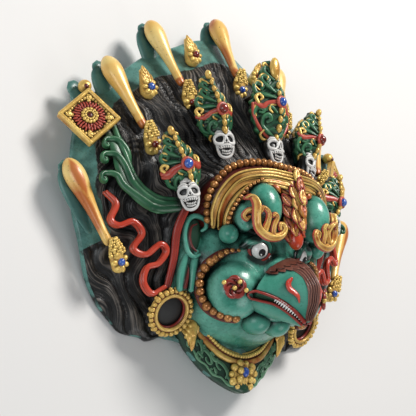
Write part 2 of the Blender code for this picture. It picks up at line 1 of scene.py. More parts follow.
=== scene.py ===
from math import cos, pi, radians, sin, sqrt

import bmesh
import bpy
import numpy as np
from mathutils import Matrix, Vector


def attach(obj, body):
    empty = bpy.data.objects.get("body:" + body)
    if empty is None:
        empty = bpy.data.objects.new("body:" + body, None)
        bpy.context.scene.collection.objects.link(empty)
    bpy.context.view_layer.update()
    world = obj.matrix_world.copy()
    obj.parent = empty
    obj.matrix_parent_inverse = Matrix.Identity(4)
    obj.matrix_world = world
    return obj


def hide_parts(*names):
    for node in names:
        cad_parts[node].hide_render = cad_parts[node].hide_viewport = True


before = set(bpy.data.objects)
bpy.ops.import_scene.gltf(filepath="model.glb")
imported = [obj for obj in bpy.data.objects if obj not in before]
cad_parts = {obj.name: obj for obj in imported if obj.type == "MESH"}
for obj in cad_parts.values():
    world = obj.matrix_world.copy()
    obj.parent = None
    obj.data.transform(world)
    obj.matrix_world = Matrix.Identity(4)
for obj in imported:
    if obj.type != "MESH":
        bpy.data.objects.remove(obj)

bl_info = {
    "name": "Garuda Wall Mask",
    "version": (1, 0, 0),
    "blender": (4, 5, 0),
    "location": "View3D > Sidebar > Mask",
    "description": "Models the painted Garuda wall mask lying on its back",
    "category": "Add Mesh",
}

# Heights in this file are millimetres above the board's level at its sides, and the back
# plane lies LIFT below that level. The face looks up +Z and its crown points to +Y.
MM = 0.001
LIFT = 7
NODE = "mask"
UP = Vector((0, 0, 1))

# The board: half its outline and the height of its front edge, by degrees above the side.
RIM_CENTRE_Y = -10
RIM_OUTLINE = (
    (-90, 95), (-79, 88.5), (-72, 83.5), (-64, 77.5), (-60, 78), (-54, 85.5), (-44, 93),
    (-34, 94.3), (-20, 93), (0, 95), (22, 97), (46, 91.5), (68, 93), (90, 101),
)
RIM_EDGE = (
    (-90, 10), (-83, 7.8), (-76, 5.8), (-68, 5), (-58, -3), (-44, -4.8), (-30, -3.5), (-12, 1.5), (0, 3.3),
    (90, 7.5),
)
# Where the hair gives way to the bare painted margin, as a share of the way out.
MARGIN = (
    (-90, 0.5), (-62, 0.5), (-60, 1.06), (-20, 1.06), (-17, 0.87), (-6, 0.88), (-3, 0.9),
    (8, 0.9), (14, 0.91), (34, 0.9), (40, 0.89), (52, 0.87), (64, 0.84), (90, 0.83),
)
HAIR_TOP = ((-1, 12), (-0.86, 24), (-0.62, 34), (0.5, 50))
HOLLOW_SHARE = 0.83
HOLLOW_DEPTH = 36
# How the hair flows: where its strands start, and how many cross a radius, by degrees above the side.
FLOW_START = ((-60, 2.2), (-20, 0), (10, 1.2), (90, 8))
FLOW_SWEEP = ((-60, 13.6), (-20, 13.6), (20, 11), (60, 5), (90, 0))

# The tip and the inner end of each club, from the lowest up, and a club's radius along its length.
CLUBS = (
    ((100.3, 0.5, 6.5), (81.4, -38, 10.5)),
    ((78.9, 57.5, 10.5), (65, 20.5, 20.5)),
    ((49.2, 87, 10.5), (38.5, 50, 21)),
    ((0, 103.5, 10.5), (0, 64, 24)),
)
CLUB_PROFILE = (
    (0, 0.3), (0.012, 1.6), (0.035, 2.9), (0.08, 4.3), (0.14, 5.2), (0.2, 5.55), (0.27, 5.45), (0.36, 4.8),
    (0.48, 3.8), (0.6, 3.05), (0.74, 2.55), (0.9, 2.3), (1.02, 2.4), (1.05, 1.2),
)
# Where the pads of the board's rim start.
LOBES = ((97.4, -4.5, 4.6), (77.2, 52.2, 6.2), (47.8, 82, 7.6), (0, 98.2, 8), (91.5, 38, 5.5))
# Crown leaves: the foot, the tip, the half width and the tilt in degrees.
LEAVES = (
    ((0, 18, 43), (0, 62.5, 48), 13.2, 0),
    ((31, 13.8, 37.3), (41.4, 45.3, 41.2), 9.8, 12),
    ((49, -15, 31.6), (62, 13, 34.6), 9.4, 18),
)
LEAF_OUTLINE = ((0, 0.3), (0.12, 0.72), (0.3, 0.98), (0.42, 1), (0.6, 0.78), (0.82, 0.4), (1, 0.12))
LEAF_RIDGE = 8
GEM_AT = 0.44
SKULLS = ((0, 13.1, 42.8), (31.1, 11.7, 38.2), (52.3, -17.6, 34))
# The plaques: their middle, the way they face, the way of one edge, and their width.
PLATE = ((91.5, 21.3, 13.2), (0.409, 0.075, 0.909), (0.616, 0.7165, -0.336), 21.3)

# The beak and the jaw from root to tip: places (y, z) in the middle plane, and half widths.
BEAK_RIDGE = ((-44.5, 48.5), (-48.5, 56), (-53.5, 61), (-60.5, 64.4), (-67, 64.2), (-73, 62), (-78.8, 57.6))
BEAK_LIP = ((-63.4, 45.5), (-64.7, 48), (-66.3, 50), (-68.2, 51.8), (-71, 53.5), (-74.4, 54.9), (-78.8, 56.1))
BEAK_HALF_WIDTH = (24, 20.5, 16.5, 12.5, 8.5, 4.8, 1.2)
JAW_LIP = ((-65.9, 42.5), (-67.4, 45), (-68.7, 47.4), (-71.2, 49.5), (-75, 51.6), (-79, 53.6))
JAW_UNDER = ((-71, 33), (-73.5, 37), (-75, 40.5), (-76.6, 44.5), (-78.4, 48.5), (-79.7, 51.8))
JAW_HALF_WIDTH = (23.5, 19, 14, 9.5, 5, 1.5)

# Paths on the right side. One that ends at x = 0 runs on over the left side.
BAND_PATH = (
    (36.8, -30.6, 35.2), (38.4, -23.8, 38.2), (36.8, -15.6, 43), (30.6, -8.4, 48.8), (17.6, -5.8, 54.7),
    (0, -6.2, 57.2),
)
BAND_MIDDLE = (0, -32)
BEAD_PATH = (
    (39.2, -27.4, 33.4), (40.8, -17.8, 36.4), (37.4, -8.4, 41.2), (30.2, -1.6, 45.4), (16.7, 1.4, 49.8),
    (0, 1.4, 51.2),
)
CHEEK_BEAD_PATH = (
    (26.2, -42.5, 39.2), (29.9, -42.6, 37.4), (33.8, -44.3, 35.6), (36.6, -46.8, 32.6), (38.4, -49.6, 29.2),
    (39.6, -53.4, 26.4), (39.3, -58, 24.6), (37.6, -62.6, 23.8), (35.2, -66.8, 24), (31.6, -70, 25.6),
    (27.2, -72.2, 27.8), (22.5, -73.6, 30.6),
)
EAR_PATH = (
    (40.3, -32.2, 30.5), (38.7, -30.6, 31.8), (38.7, -27.4, 32.1), (41.1, -25.5, 30.8), (43.8, -25.1, 29),
    (46.1, -27.6, 27.2), (47.2, -33.2, 25.8), (46.6, -38.9, 25.5), (45.2, -42.9, 25.9), (43, -44.7, 27.2),
    (41, -43.7, 28.7),
)
# Where the ear rings lie and the way they face.
EARRING = ((47.4, -69, 13), (0.15, -0.55, 0.82))
RIBBON_PATH = (
    (82.7, -14.8, 13), (78.7, -20.4, 15), (81.2, -28, 13.7), (78, -31, 15.5), (71.5, -28.8, 18),
    (66.8, -34, 18.5), (70, -40.8, 15.5), (64.5, -43.8, 17.5), (58.5, -38.8, 21), (54.5, -41.5, 21),
    (57.5, -47.3, 18), (62.5, -49.5, 15.5), (63.2, -56, 13.5), (58.5, -61, 13.5), (53, -58, 16),
)
STRAND_PATH = ((50, -22.5, 31), (52, -32.5, 26), (50.5, -45.5, 20.5), (51.5, -58, 16))
SCARF_PATH = (
    (79.4, 16, 14.5), (76, 6, 16.6), (75.2, -2.4, 17.6), (73, -9.8, 19.2), (69, -16.6, 22.5), (62, -20.8, 26),
    (52, -20.6, 30),
)
# The path of each brow curl and its radii, which are then scaled by BROW_CURL_SIZE.
BROW_CURLS = (
    (((31.4, -20.4, 53), (29.4, -20.4, 55.8), (28.2, -24.6, 57.2), (28.5, -30.3, 56.6), (27.5, -35, 55.8),
      (23.7, -38, 56), (19.1, -39, 56.6), (13.9, -37.9, 57.4), (11.3, -34.8, 58.3), (12.3, -32.3, 58.3),
      (14.5, -32.6, 58.2), (14.2, -34.6, 58)), (0.5, 1.9, 2.7, 2.5, 2.4, 2.4, 2.2, 1.9, 1.6, 1.3, 1.1, 0.9)),
    (((28.6, -26.6, 56), (31.2, -27, 54), (32.4, -29, 51.8), (30.9, -30.6, 52.2), (29.8, -29.6, 53)),
     (1.6, 1.2, 1.1, 1, 0.8)),
    (((23.7, -37, 56), (21.9, -31.8, 57.6), (23, -28.4, 59.4), (25, -27, 60), (26.8, -26.4, 59.6),
      (27.6, -28, 59)), (1.9, 1.6, 1.4, 1.2, 1.1, 0.9)),
    (((18.2, -37.6, 56.4), (18.6, -33.4, 58.2), (17.4, -30, 59.4), (18.8, -28.4, 60), (20.2, -29.2, 59.8)),
     (1.7, 1.5, 1.3, 1.1, 0.9)),
)
BROW_CURL_SIZE = 0.88
COLLAR_INNER = (
    (29.5, -66, 7.6), (27, -70.5, 8), (24.5, -74.2, 8.4), (20, -79, 8.9), (12, -84.8, 9.4), (0, -87.6, 9.6),
)
COLLAR_RIM = (
    (31.5, -68.5, 7), (28.8, -72.8, 7.6), (25.2, -77.4, 8.2), (19.5, -83, 9.2), (12, -87.9, 10.2),
    (0, -90.4, 10.6),
)
COLLAR_OUTER = (
    (36, -75.5, 4.6), (33.6, -79.8, 5), (30, -85, 5.2), (20.5, -94.4, 6), (10, -101.4, 8.2),
    (0, -105.2, 10.4),
)
COLLAR_MIDDLE = (0, -50)


def spot(point, side=1):
    """A place in metres from millimetres, on the right (side 1) or the left (side -1)."""
    return Vector((side * point[0], point[1], point[2] + LIFT)) * MM


def spots(points, side=1):
    return [spot(point, side) for point in points]


def sides(place):
    """Both sides for a place off the middle line, and one for a place on it."""
    return (1, -1) if place[0] else (1,)


def turns(count, start=0.0):
    """Angles at even steps all the way round."""
    return [2 * pi * k / count + start for k in range(count)]


def ease(knots, at):
    """Reads a table of (place, value) at an array of places, with a smooth step between rows."""
    places = np.array([row[0] for row in knots], float)
    values = np.array([row[1] for row in knots], float)
    at = np.clip(at, places[0], places[-1])
    low = np.clip(np.searchsorted(places, at, side="right") - 1, 0, len(places) - 2)
    share = (at - places[low]) / (places[low + 1] - places[low])
    return values[low] + (values[low + 1] - values[low]) * (3 - 2 * share) * share * share


def between(a, b, c, d, t):
    """A share t of the way from b to c, on the smooth curve through four places."""
    bend = (2 * a - 5 * b + 4 * c - d) * t * t
    return 0.5 * (2 * b + (c - a) * t + bend + (3 * b - a - 3 * c + d) * t * t * t)


def read_even(table, at):
    """Reads a table with even steps by a smooth curve through its rows."""
    rows = [Vector((*row, 0, 0)[:3]) for row in table]
    last = len(rows) - 1
    at = min(max(at, 0), last)
    i = min(int(at), last - 1)
    before = rows[i - 1] if i else 2 * rows[0] - rows[1]
    after = rows[i + 2] if i + 2 <= last else 2 * rows[last] - rows[last - 1]
    return between(before, rows[i], rows[i + 1], after, at - i)


def width_at(table, at):
    return read_even([(width,) for width in table], at)[0]


def through(points, per_span=8):
    """A smooth curve through the points, as a list of points."""
    points = [Vector(point) for point in points]
    ends = [2 * points[0] - points[1]] + points + [2 * points[-1] - points[-2]]
    found = []
    for i in range(len(points) - 1):
        found += [between(*ends[i : i + 4], step / per_span) for step in range(per_span)]
    return found + [points[-1]]


def paced(points, count):
    """Points at even steps along a line of points."""
    lengths = [0.0]
    for a, b in zip(points, points[1:]):
        lengths.append(lengths[-1] + (b - a).length)
    places = []
    for k in range(count):
        want = lengths[-1] * k / (count - 1)
        i = min(max(1, int(np.searchsorted(lengths, want))), len(points) - 1)
        share = (want - lengths[i - 1]) / max(lengths[i] - lengths[i - 1], 1e-12)
        places.append(points[i - 1].lerp(points[i], min(share, 1)))
    return places


def whole(path):
    """A half path that ends on the middle line, run on to the other side, in metres."""
    return spots(path, -1) + spots(reversed(path[:-1]))


def triple(size):
    return size if isinstance(size, tuple) else (size, size, size)


def shifted(path, distance, middle, lift=0):
    """A path moved level towards a middle point, in millimetres."""
    moved = []
    for x, y, z in path:
        way = Vector((middle[0] - x, middle[1] - y)).normalized() * distance
        moved.append((x + way.x, y + way.y, z + lift))
    return moved


def turned_to(normal, across=(1, 0, 0)):
    """A rotation that takes +Z to normal and +X as near as it can to across."""
    z = Vector(normal).normalized()
    x = Vector(across)
    if abs(x.normalized().dot(z)) > 0.98:
        x = Vector((0, 1, 0))
    x = (x - z * x.dot(z)).normalized()
    return Matrix((x, z.cross(x), z)).transposed().to_4x4()


def placed(place, normal=UP, across=(1, 0, 0), size=1):
    """A place, a turn and a size, one or three of them, for a copy."""
    return Matrix.Translation(place) @ turned_to(normal, across) @ Matrix.Diagonal((*triple(size), 1))


def placer(centre, turn):
    """A function for places in millimetres from a centre, in the axes of a turn."""
    return lambda x, y, z: centre + turn.to_3x3() @ Vector((x, y, z)) * MM


def sized(place, size=1.0):
    return Matrix.Translation(place) @ Matrix.Scale(size, 4)


def laid(place, turn, size, spin=0.0):
    """A place, a turn, a spin in that plane and three sizes, for a copy."""
    return Matrix.Translation(place) @ turn @ Matrix.Rotation(spin, 4, "Z") @ Matrix.Diagonal((*size, 1))


# Paint ------------


def linear(red, green, blue):
    """A colour from 0-255 values."""
    return tuple(
        ((c / 255 + 0.055) / 1.055) ** 2.4 if c > 10 else c / 255 / 12.92 for c in (red, green, blue)
    )


COLOURS = {
    "teal": (54, 140, 118), "teal_light": (118, 200, 178), "teal_dark": (6, 22, 19),
    "teal_deep": (24, 76, 62), "board": (58, 100, 94), "board_light": (110, 168, 158),
    "leaf_side": (56, 112, 98),
    "hair": (19, 19, 20), "hair_light": (128, 120, 112), "hair_gap": (6, 6, 6), "hair_shade": (5, 5, 5),
    "gold": (206, 148, 62), "gold_light": (250, 214, 118), "gold_dark": (46, 20, 7),
    "band": (168, 110, 44), "copper": (156, 88, 38), "copper_light": (240, 178, 104),
    "brow": (204, 118, 48), "flame": (186, 72, 38),
    "gilt": (244, 194, 104), "gilt_light": (255, 228, 148), "gilt_stain": (186, 84, 26),
    "orange": (176, 78, 30), "orange_dark": (92, 26, 10),
    "green": (28, 84, 56), "green_light": (78, 144, 98), "green_dark": (5, 16, 10),
    "scarf": (20, 78, 48), "panel": (18, 52, 36), "mint": (128, 178, 138),
    "red": (176, 56, 42), "red_light": (214, 104, 82), "red_deep": (108, 28, 21), "red_dark": (32, 9, 6),
    "scarlet": (190, 34, 20), "ribbon": (196, 62, 40), "brown_red": (84, 26, 18),
    "brown": (98, 50, 40), "brown_light": (168, 112, 92), "brown_dark": (24, 10, 7),
    "bone": (214, 212, 208), "white": (244, 243, 240), "black": (9, 9, 9), "mouth": (18, 44, 33),
    "blue": (34, 74, 168), "blue_light": (96, 140, 220),
}


class Wire:
    """A value or colour on its way through a material's nodes."""

    def __init__(self, tree, socket):
        self.tree = tree
        self.socket = socket

    def combined(self, operation, first, second):
        node = self.tree.nodes.new("ShaderNodeMath")
        node.operation = operation
        for slot, value in zip(node.inputs, (first, second)):
            if isinstance(value, Wire):
                self.tree.links.new(value.socket, slot)
            else:
                slot.default_value = value
        return Wire(self.tree, node.outputs[0])

    def __add__(self, other):
        return self.combined("ADD", self, other)

    __radd__ = __add__

    def __sub__(self, other):
        return self.combined("SUBTRACT", self, other)

    def __rsub__(self, other):
        return self.combined("SUBTRACT", other, self)

    def __mul__(self, other):
        return self.combined("MULTIPLY", self, other)

    __rmul__ = __mul__


class Paint:
    """One material: its nodes are added through node(), and shade() fills the shader's sockets."""

    def __init__(self, name):
        self.material = bpy.data.materials.new(name)
        self.material.use_nodes = True
        self.tree = self.material.node_tree
        self.shader = self.tree.nodes["Principled BSDF"]

    def node(self, kind, settings=None, stops=(), **sockets):
        """A node of a kind: its settings and a grey ramp's stops first, then its sockets."""
        made = self.tree.nodes.new(kind)
        for key, value in (settings or {}).items():
            setattr(made, key, value)
        for point, (at, grey) in zip(made.color_ramp.elements if stops else (), stops):
            point.position = at
            point.color = (grey, grey, grey, 1)
        for key, value in sockets.items():
            self.put(made.inputs[key.replace("_", " ")], value)
        return made

    def put(self, slot, value):
        if isinstance(value, Wire):
            self.tree.links.new(value.socket, slot)
        elif hasattr(slot.default_value, "__len__") and len(slot.default_value) == 4 and len(value) == 3:
            slot.default_value = (*value, 1)
        else:
            slot.default_value = value

    def out(self, made, name):
        return Wire(self.tree, made.outputs[name])

    def place(self):
        return self.out(self.node("ShaderNodeTexCoord"), "Object")

    def noise(self, scale, detail=3.0, distortion=0.0, vector=None):
        """A cloudy grey pattern, on the piece's own places unless it is given others."""
        vector = vector or self.place()
        sockets = {"Vector": vector, "Scale": scale, "Detail": detail, "Distortion": distortion}
        return self.out(self.node("ShaderNodeTexNoise", **sockets), "Fac")

    def ramp(self, value, *stops):
        """A grey ramp through (place, value) stops."""
        return self.out(self.node("ShaderNodeValToRGB", stops=stops, Fac=value), "Color")

    def mix(self, share, first, second):
        made = self.node("ShaderNodeMix", {"data_type": "RGBA"})
        for slot, value in ((made.inputs[0], share), (made.inputs[6], first), (made.inputs[7], second)):
            self.put(slot, value)
        return Wire(self.tree, made.outputs[2])

    def over(self, colour, other, value, *stops):
        """Another colour laid over a colour, by a ramp of the value."""
        return self.mix(self.ramp(value, *stops), colour, other)

    def near(self, distance):
        """How open the surface is to the air within a distance: 0 deep in a groove, 1 on the open."""
        made = self.node("ShaderNodeAmbientOcclusion", {"samples": 6}, Distance=distance)
        return self.out(made, "AO")

    def crest(self):
        """0.5 on the flat, more on a ridge, less in a groove."""
        return self.out(self.node("ShaderNodeNewGeometry"), "Pointiness")

    def attribute(self, name):
        return self.out(self.node("ShaderNodeAttribute", {"attribute_name": name}), "Fac")

    def bump(self, height, strength, distance):
        made = self.node("ShaderNodeBump", Height=height, Strength=strength, Distance=distance)
        return self.out(made, "Normal")

    def shade(self, colour, rough, normal, metal=0.0, coat=0.25, coat_rough=0.18):
        """Fills the shader's sockets, and gives the material."""
        sockets = {"Base Color": colour, "Roughness": rough, "Metallic": metal, "Coat Weight": coat,
                   "Coat Roughness": coat_rough}
        if normal:
            sockets["Normal"] = normal
        for name, value in sockets.items():
            self.put(self.shader.inputs[name], value)
        return self.material


def washed_and_shaded(name, body, light, dark, rough=0.36, metal=0.0, reach=3.2, depth=(0.25, 0.85), crest=0.8,
           patches=0.35, coat=0.25, grain=0.16):
    """Hand paint over a casting: mottled body colour, a dark wash in the hollows that is partly painted
    shade, read from how open each point is, and pale crests that are partly dry-brushing and partly painted
    highlight.
    """
    paint = Paint(name)
    cloud = paint.noise(95, 4, 0.6)
    fleck = paint.noise(900)
    pointy = paint.crest()
    colour = paint.over(body, light, cloud, (0.35, 0), (0.7, patches))
    # Painted shade: the colour darkens towards the dark colour in hollows and grooves, partly the paint's own
    # wash.
    open_air = paint.near(reach * MM)
    shade_and_stain = paint.ramp(open_air + (cloud - 0.5) * 0.3, (depth[0], 1), (depth[1], 0))
    colour = paint.mix(shade_and_stain, colour, dark)
    colour = paint.over(colour, dark, pointy, (0.4, 0.85), (0.485, 0))
    # Painted highlight: open crests turn to the light colour, partly dry-brushing.
    ridge = paint.ramp(pointy + (cloud - 0.5) * 0.04, (0.515, 0), (0.58, crest))
    colour = paint.mix(ridge * open_air, colour, light)
    colour = paint.over(colour, dark, fleck, (0.6, 0), (0.75, 0.35))
    finish = rough + (cloud - 0.5) * 0.22 + shade_and_stain * 0.25
    normal = paint.bump(fleck * 0.6 + paint.noise(260), grain, 0.0006)
    return paint.shade(colour, finish, normal, metal, coat)


def bone_paint(colours):
    """White skulls with black in every hollow, read from how open each point is: partly black paint and
    partly painted shade.
    """
    paint = Paint("bone_paint")
    cloud = paint.noise(240, 4, 0.4)
    colour = paint.over(colours.bone, colours.white, cloud, (0.35, 0), (0.7, 0.8))
    # Painted shade: black where the surface is closed in, along with the skulls' black paint.
    colour = paint.over(colour, colours.black, paint.near(0.0014), (0.35, 1), (0.8, 0))
    colour = paint.over(colour, colours.black, paint.noise(900), (0.62, 0), (0.76, 0.4))
    normal = paint.bump(cloud, 0.2, 0.0005)
    return paint.shade(colour, 0.4 + (cloud - 0.5) * 0.2, normal, coat=0.3, coat_rough=0.2)


def hair_paint(colours):
    """Black locks with grey on their crests, partly dry-brushing and partly painted highlight, painted shade
    in their grooves and hollows, and the bare painted margin outside them with painted shade in its hollows.
    """
    paint = Paint("hair_paint")
    cloud = paint.noise(120, 4, 0.4)
    fleck = paint.noise(1100)
    place = paint.node("ShaderNodeSeparateXYZ", Vector=paint.place())
    x, y = paint.out(place, "X"), paint.out(place, "Y")
    line = paint.node("ShaderNodeCombineXYZ", X=paint.attribute("strand") * 15, Y=x * 55, Z=y * 55)
    threads = paint.noise(1.0, vector=paint.out(line, "Vector"))
    crest = paint.attribute("crest") * 0.62 + threads * 0.75
    # Painted highlight: grey on the crests of the locks and their threads.
    lit = paint.ramp(crest + (cloud - 0.5) * 0.45, (0.8, 0), (1.0, 0.85))
    hair = paint.mix(lit, colours.hair, colours.hair_light)
    # Painted shade: near black in the grooves between threads and in the hollows between locks.
    hair = paint.over(hair, colours.hair_gap, threads, (0.38, 0.95), (0.49, 0))
    hair = paint.over(hair, colours.hair_shade, paint.near(0.0026), (0.3, 0.98), (0.9, 0))
    board = paint.over(colours.board, colours.board_light, cloud, (0.3, 0), (0.7, 0.8))
    board = paint.over(board, colours.teal_dark, fleck, (0.5, 0), (0.8, 0.5))
    # Painted shade in the margin's hollows.
    board = paint.over(board, colours.teal_dark, paint.near(0.004), (0.2, 0.95), (0.8, 0))
    edge = paint.ramp(paint.attribute("margin") + (cloud - 0.5) * 1.4, (0.42, 0), (0.58, 1))
    normal = paint.bump(threads * (1 - edge) + fleck * 0.12, 0.85, 0.0008)
    return paint.shade(paint.mix(edge, hair, board), 0.36 + (cloud - 0.5) * 0.3, normal, coat_rough=0.22)


def skin_paint(colours):
    """Teal over the head, with painted shade round the eyes and in every crease, and paler worn places."""
    paint = Paint("skin_paint")
    cloud = paint.noise(70, 5, 0.7)
    fine = paint.noise(420, 4)
    fleck = paint.noise(1000)
    dark = colours.teal_dark
    colour = paint.over(colours.teal, colours.teal_light, cloud, (0.36, 0), (0.68, 0.75))
    colour = paint.over(colour, colours.teal_light, fine, (0.5, 0), (0.75, 0.4))
    colour = paint.over(colour, dark, fleck, (0.58, 0), (0.72, 0.5))
    # Painted shade: darker in the hollows and along the creases marked on the face.
    shade_and_stain = paint.ramp(paint.near(0.0055) + (fine - 0.5) * 0.3, (0.42, 1), (0.93, 0))
    colour = paint.mix(shade_and_stain, colour, dark)
    crease = paint.attribute("shade_and_stain") + (fine - 0.5) * 0.5
    colour = paint.over(colour, dark, crease, (0.3, 0), (0.75, 0.96))
    normal = paint.bump(fine * 0.8 + fleck * 0.4, 0.22, 0.0006)
    return paint.shade(colour, 0.3 + (cloud - 0.5) * 0.25, normal, coat=0.35, coat_rough=0.2)


def gilt_paint(colours, name, shade_and_stain_low):
    """Smooth pale gilt, orange along one side as painted shade and orange staining, with painted shade in its
    hollows.
    """
    paint = Paint(name)
    cloud = paint.noise(60, 3, 0.4)
    fleck = paint.noise(700, 4)
    shade_and_stain = paint.attribute("shade_and_stain") + (cloud - 0.5) * 0.5
    colour = paint.over(colours.gilt, colours.gilt_light, cloud, (0.4, 0), (0.62, 0.8))
    # Orange along one side of each club as painted shade and staining, then painted shade in the hollows.
    colour = paint.over(colour, colours.gilt_stain, shade_and_stain, (shade_and_stain_low, 0), (shade_and_stain_low + 0.3, 0.85))
    colour = paint.over(colour, colours.gold_dark, paint.near(0.004), (0.3, 0.95), (0.85, 0))
    colour = paint.over(colour, colours.gold_dark, fleck, (0.64, 0), (0.74, 0.6))
    normal = paint.bump(paint.noise(220), 0.16, 0.0006)
    return paint.shade(colour, 0.34 + (cloud - 0.5) * 0.2, normal, metal=0.1, coat=0.3)


def stone_paint(name, colour, light):
    """A glossy enamelled stone."""
    paint = Paint(name)
    tone = paint.over(colour, light, paint.noise(600), (0.4, 0), (0.7, 0.5))
    return paint.shade(tone, 0.14, None, coat=1.0, coat_rough=0.05)


# These paints have a wash and painted shade in their hollows and painted highlight on their crests: the
# colours of their body, crests and hollows, and what sets them apart.
WASHED_AND_SHADED_PAINTS = {
    "teal": ("teal teal_light teal_dark", dict(reach=4.5, depth=(0.42, 0.95), crest=0.35)),
    "lid": ("teal_deep teal teal_dark", dict(reach=2.2, depth=(0.35, 0.95), crest=0.5)),
    "pad": ("board board_light teal_dark", dict(reach=2.6, depth=(0.1, 0.7), crest=0.5)),
    "leaf_side": ("leaf_side teal_dark green_dark", dict(reach=2.5, depth=(0.2, 0.8))),
    "gold": ("gold gold_light gold_dark", dict(
        rough=0.3, metal=0.3, reach=2.6, depth=(0.45, 0.99), crest=1.0, patches=0.6, grain=0.5)),
    "band": ("band gold_light gold_dark", dict(
        rough=0.3, metal=0.3, reach=2.4, depth=(0.45, 0.99), crest=1.0, patches=0.5, grain=0.7)),
    "rim": ("orange gold_light gold_dark", dict(
        rough=0.3, metal=0.25, reach=2, depth=(0.3, 0.9), crest=1.0, patches=0.7, grain=0.6)),
    "brow": ("brow gold_light orange_dark", dict(
        rough=0.28, metal=0.2, reach=1.2, depth=(0.5, 1.0), crest=1.0, patches=1.0, grain=0.5)),
    "copper": ("copper copper_light gold_dark", dict(
        rough=0.24, metal=0.45, reach=2.8, depth=(0.45, 1.0), crest=0.6, patches=0.5, grain=0.4)),
    "orange": ("flame gold red_dark", dict(
        rough=0.3, metal=0.1, reach=2.6, depth=(0.4, 1.0), crest=1.0, patches=0.5, grain=0.5)),
    "flame": ("scarlet gold red_dark", dict(
        rough=0.25, reach=2.4, depth=(0.2, 0.8), crest=0.7, patches=0.3, coat=0.5)),
    "green": ("green green_light green_dark", dict(reach=2.8, depth=(0.4, 0.98), crest=0.9)),
    "scarf": ("scarf green_light green_dark", dict(reach=2.6, depth=(0.4, 0.98), crest=0.6)),
    "panel": ("panel green green_dark", dict(reach=2.8, depth=(0.35, 0.95), crest=0.3)),
    "scroll_green": ("green mint green_dark", dict(reach=1.4, depth=(0.4, 0.95), crest=0.8)),
    "mouth": ("mouth green black", dict(reach=3)),
    "red": ("red red_light red_dark", dict(reach=2.2, depth=(0.3, 0.92), crest=0.6)),
    "ribbon": ("ribbon red_light red_dark", dict(
        rough=0.28, reach=1.8, depth=(0.25, 0.85), crest=0.6, coat=0.4)),
    "scarlet": ("scarlet red_light red_dark", dict(rough=0.25, reach=1.2, crest=0.3)),
    "red_deep": ("red_deep red red_dark", dict(reach=2.2, depth=(0.35, 0.95))),
    "brown_red": ("brown_red red_deep red_dark", dict(reach=2.4, depth=(0.4, 1.0), crest=0.7, patches=0.4)),
    "brown": ("brown brown_light brown_dark", dict(reach=1.8, depth=(0.35, 0.95), crest=1.0)),
    "teeth": ("white white black", dict(rough=0.3, reach=0.8, depth=(0.2, 0.7))),
    "white": ("white white black", dict(rough=0.2, reach=1.2, coat=0.8)),
    "black": ("black hair black", dict(rough=0.34, crest=0.2, patches=0.2)),
    "pupil": ("black black black", dict(rough=0.5, coat=0.0)),
}


paints = {}


def make_paints(colours):
    for name, (trio, settings) in WASHED_AND_SHADED_PAINTS.items():
        body, light, dark = (getattr(colours, colour) for colour in trio.split())
        paints[name] = washed_and_shaded(f"{name}_paint", body, light, dark, **settings)
    paints["skin"] = skin_paint(colours)
    paints["hair"] = hair_paint(colours)
    paints["bone"] = bone_paint(colours)
    paints["gilt"] = gilt_paint(colours, "gilt_paint", 0.46)
    paints["gilt_shaded_and_stained"] = gilt_paint(colours, "gilt_shaded_and_stained_paint", 0.2)
    paints["blue"] = stone_paint("blue_enamel", colours.blue, colours.blue_light)
    paints["ruby"] = stone_paint("red_enamel", colours.red_deep, colours.red)


# Modelling ------------


def clear():
    """Leaves edit mode and selects nothing."""
    if bpy.context.mode != "OBJECT":
        bpy.ops.object.mode_set(mode="OBJECT")
    bpy.ops.object.select_all(action="DESELECT")


def only(obj):
    clear()
    obj.select_set(True)
    bpy.context.view_layer.objects.active = obj


def shown(mesh):
    """An object of the scene with this mesh."""
    obj = bpy.data.objects.new(mesh.name, mesh)
    bpy.context.scene.collection.objects.link(obj)
    return obj


def joined(objects):
    """Joins objects into the first of them."""
    clear()
    for obj in objects:
        obj.select_set(True)
    bpy.context.view_layer.objects.active = objects[0]
    if len(objects) > 1:
        bpy.ops.object.join()
    return objects[0]


def settled(obj):
    """Moves an object's place, turn and size into its mesh."""
    only(obj)
    bpy.ops.object.transform_apply(location=True, rotation=True, scale=True)
    return obj


def mended(obj, within=0.000002):
    """Merges doubles and turns the faces outwards."""
    only(obj)
    bpy.ops.object.mode_set(mode="EDIT")
    bpy.ops.mesh.select_all(action="SELECT")
    bpy.ops.mesh.remove_doubles(threshold=within)
    bpy.ops.mesh.normals_make_consistent(inside=False)
    bpy.ops.object.mode_set(mode="OBJECT")
    return obj


def applied(obj, kind, **settings):
    """Adds a modifier and applies it."""
    only(obj)
    bpy.ops.object.modifier_add(type=kind)
    modifier = obj.modifiers[-1]
    for key, value in settings.items():
        setattr(modifier, key, value)
    bpy.ops.object.modifier_apply(modifier=modifier.name)
    return obj


def coordinates(obj):
    """The places of a mesh's points, one to a row."""
    flat = np.empty(len(obj.data.vertices) * 3)
    obj.data.vertices.foreach_get("co", flat)
    return flat.reshape(-1, 3)


def marked(obj, name, values):
    """Gives each point of a mesh a value that its paint reads."""
    layer = obj.data.attributes.new(name, "FLOAT", "POINT")
    layer.data.foreach_set("value", np.array(values).ravel())


def piece(objects, name, paint, flat=False):
    """Joins what makes up one piece, paints it and hands it to the frame."""
    obj = joined(objects if isinstance(objects, list) else [objects])
    settled(obj)
    if name != "hair_board":
        kept_above(obj)
    obj.name = obj.data.name = name
    obj.data.materials.clear()
    obj.data.materials.append(paints[paint])
    if flat:
        only(obj)
        bpy.ops.object.shade_smooth_by_angle(angle=radians(38))
    else:
        obj.data.polygons.foreach_set("use_smooth", [True] * len(obj.data.polygons))
    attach(obj, "root")
    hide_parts(NODE)


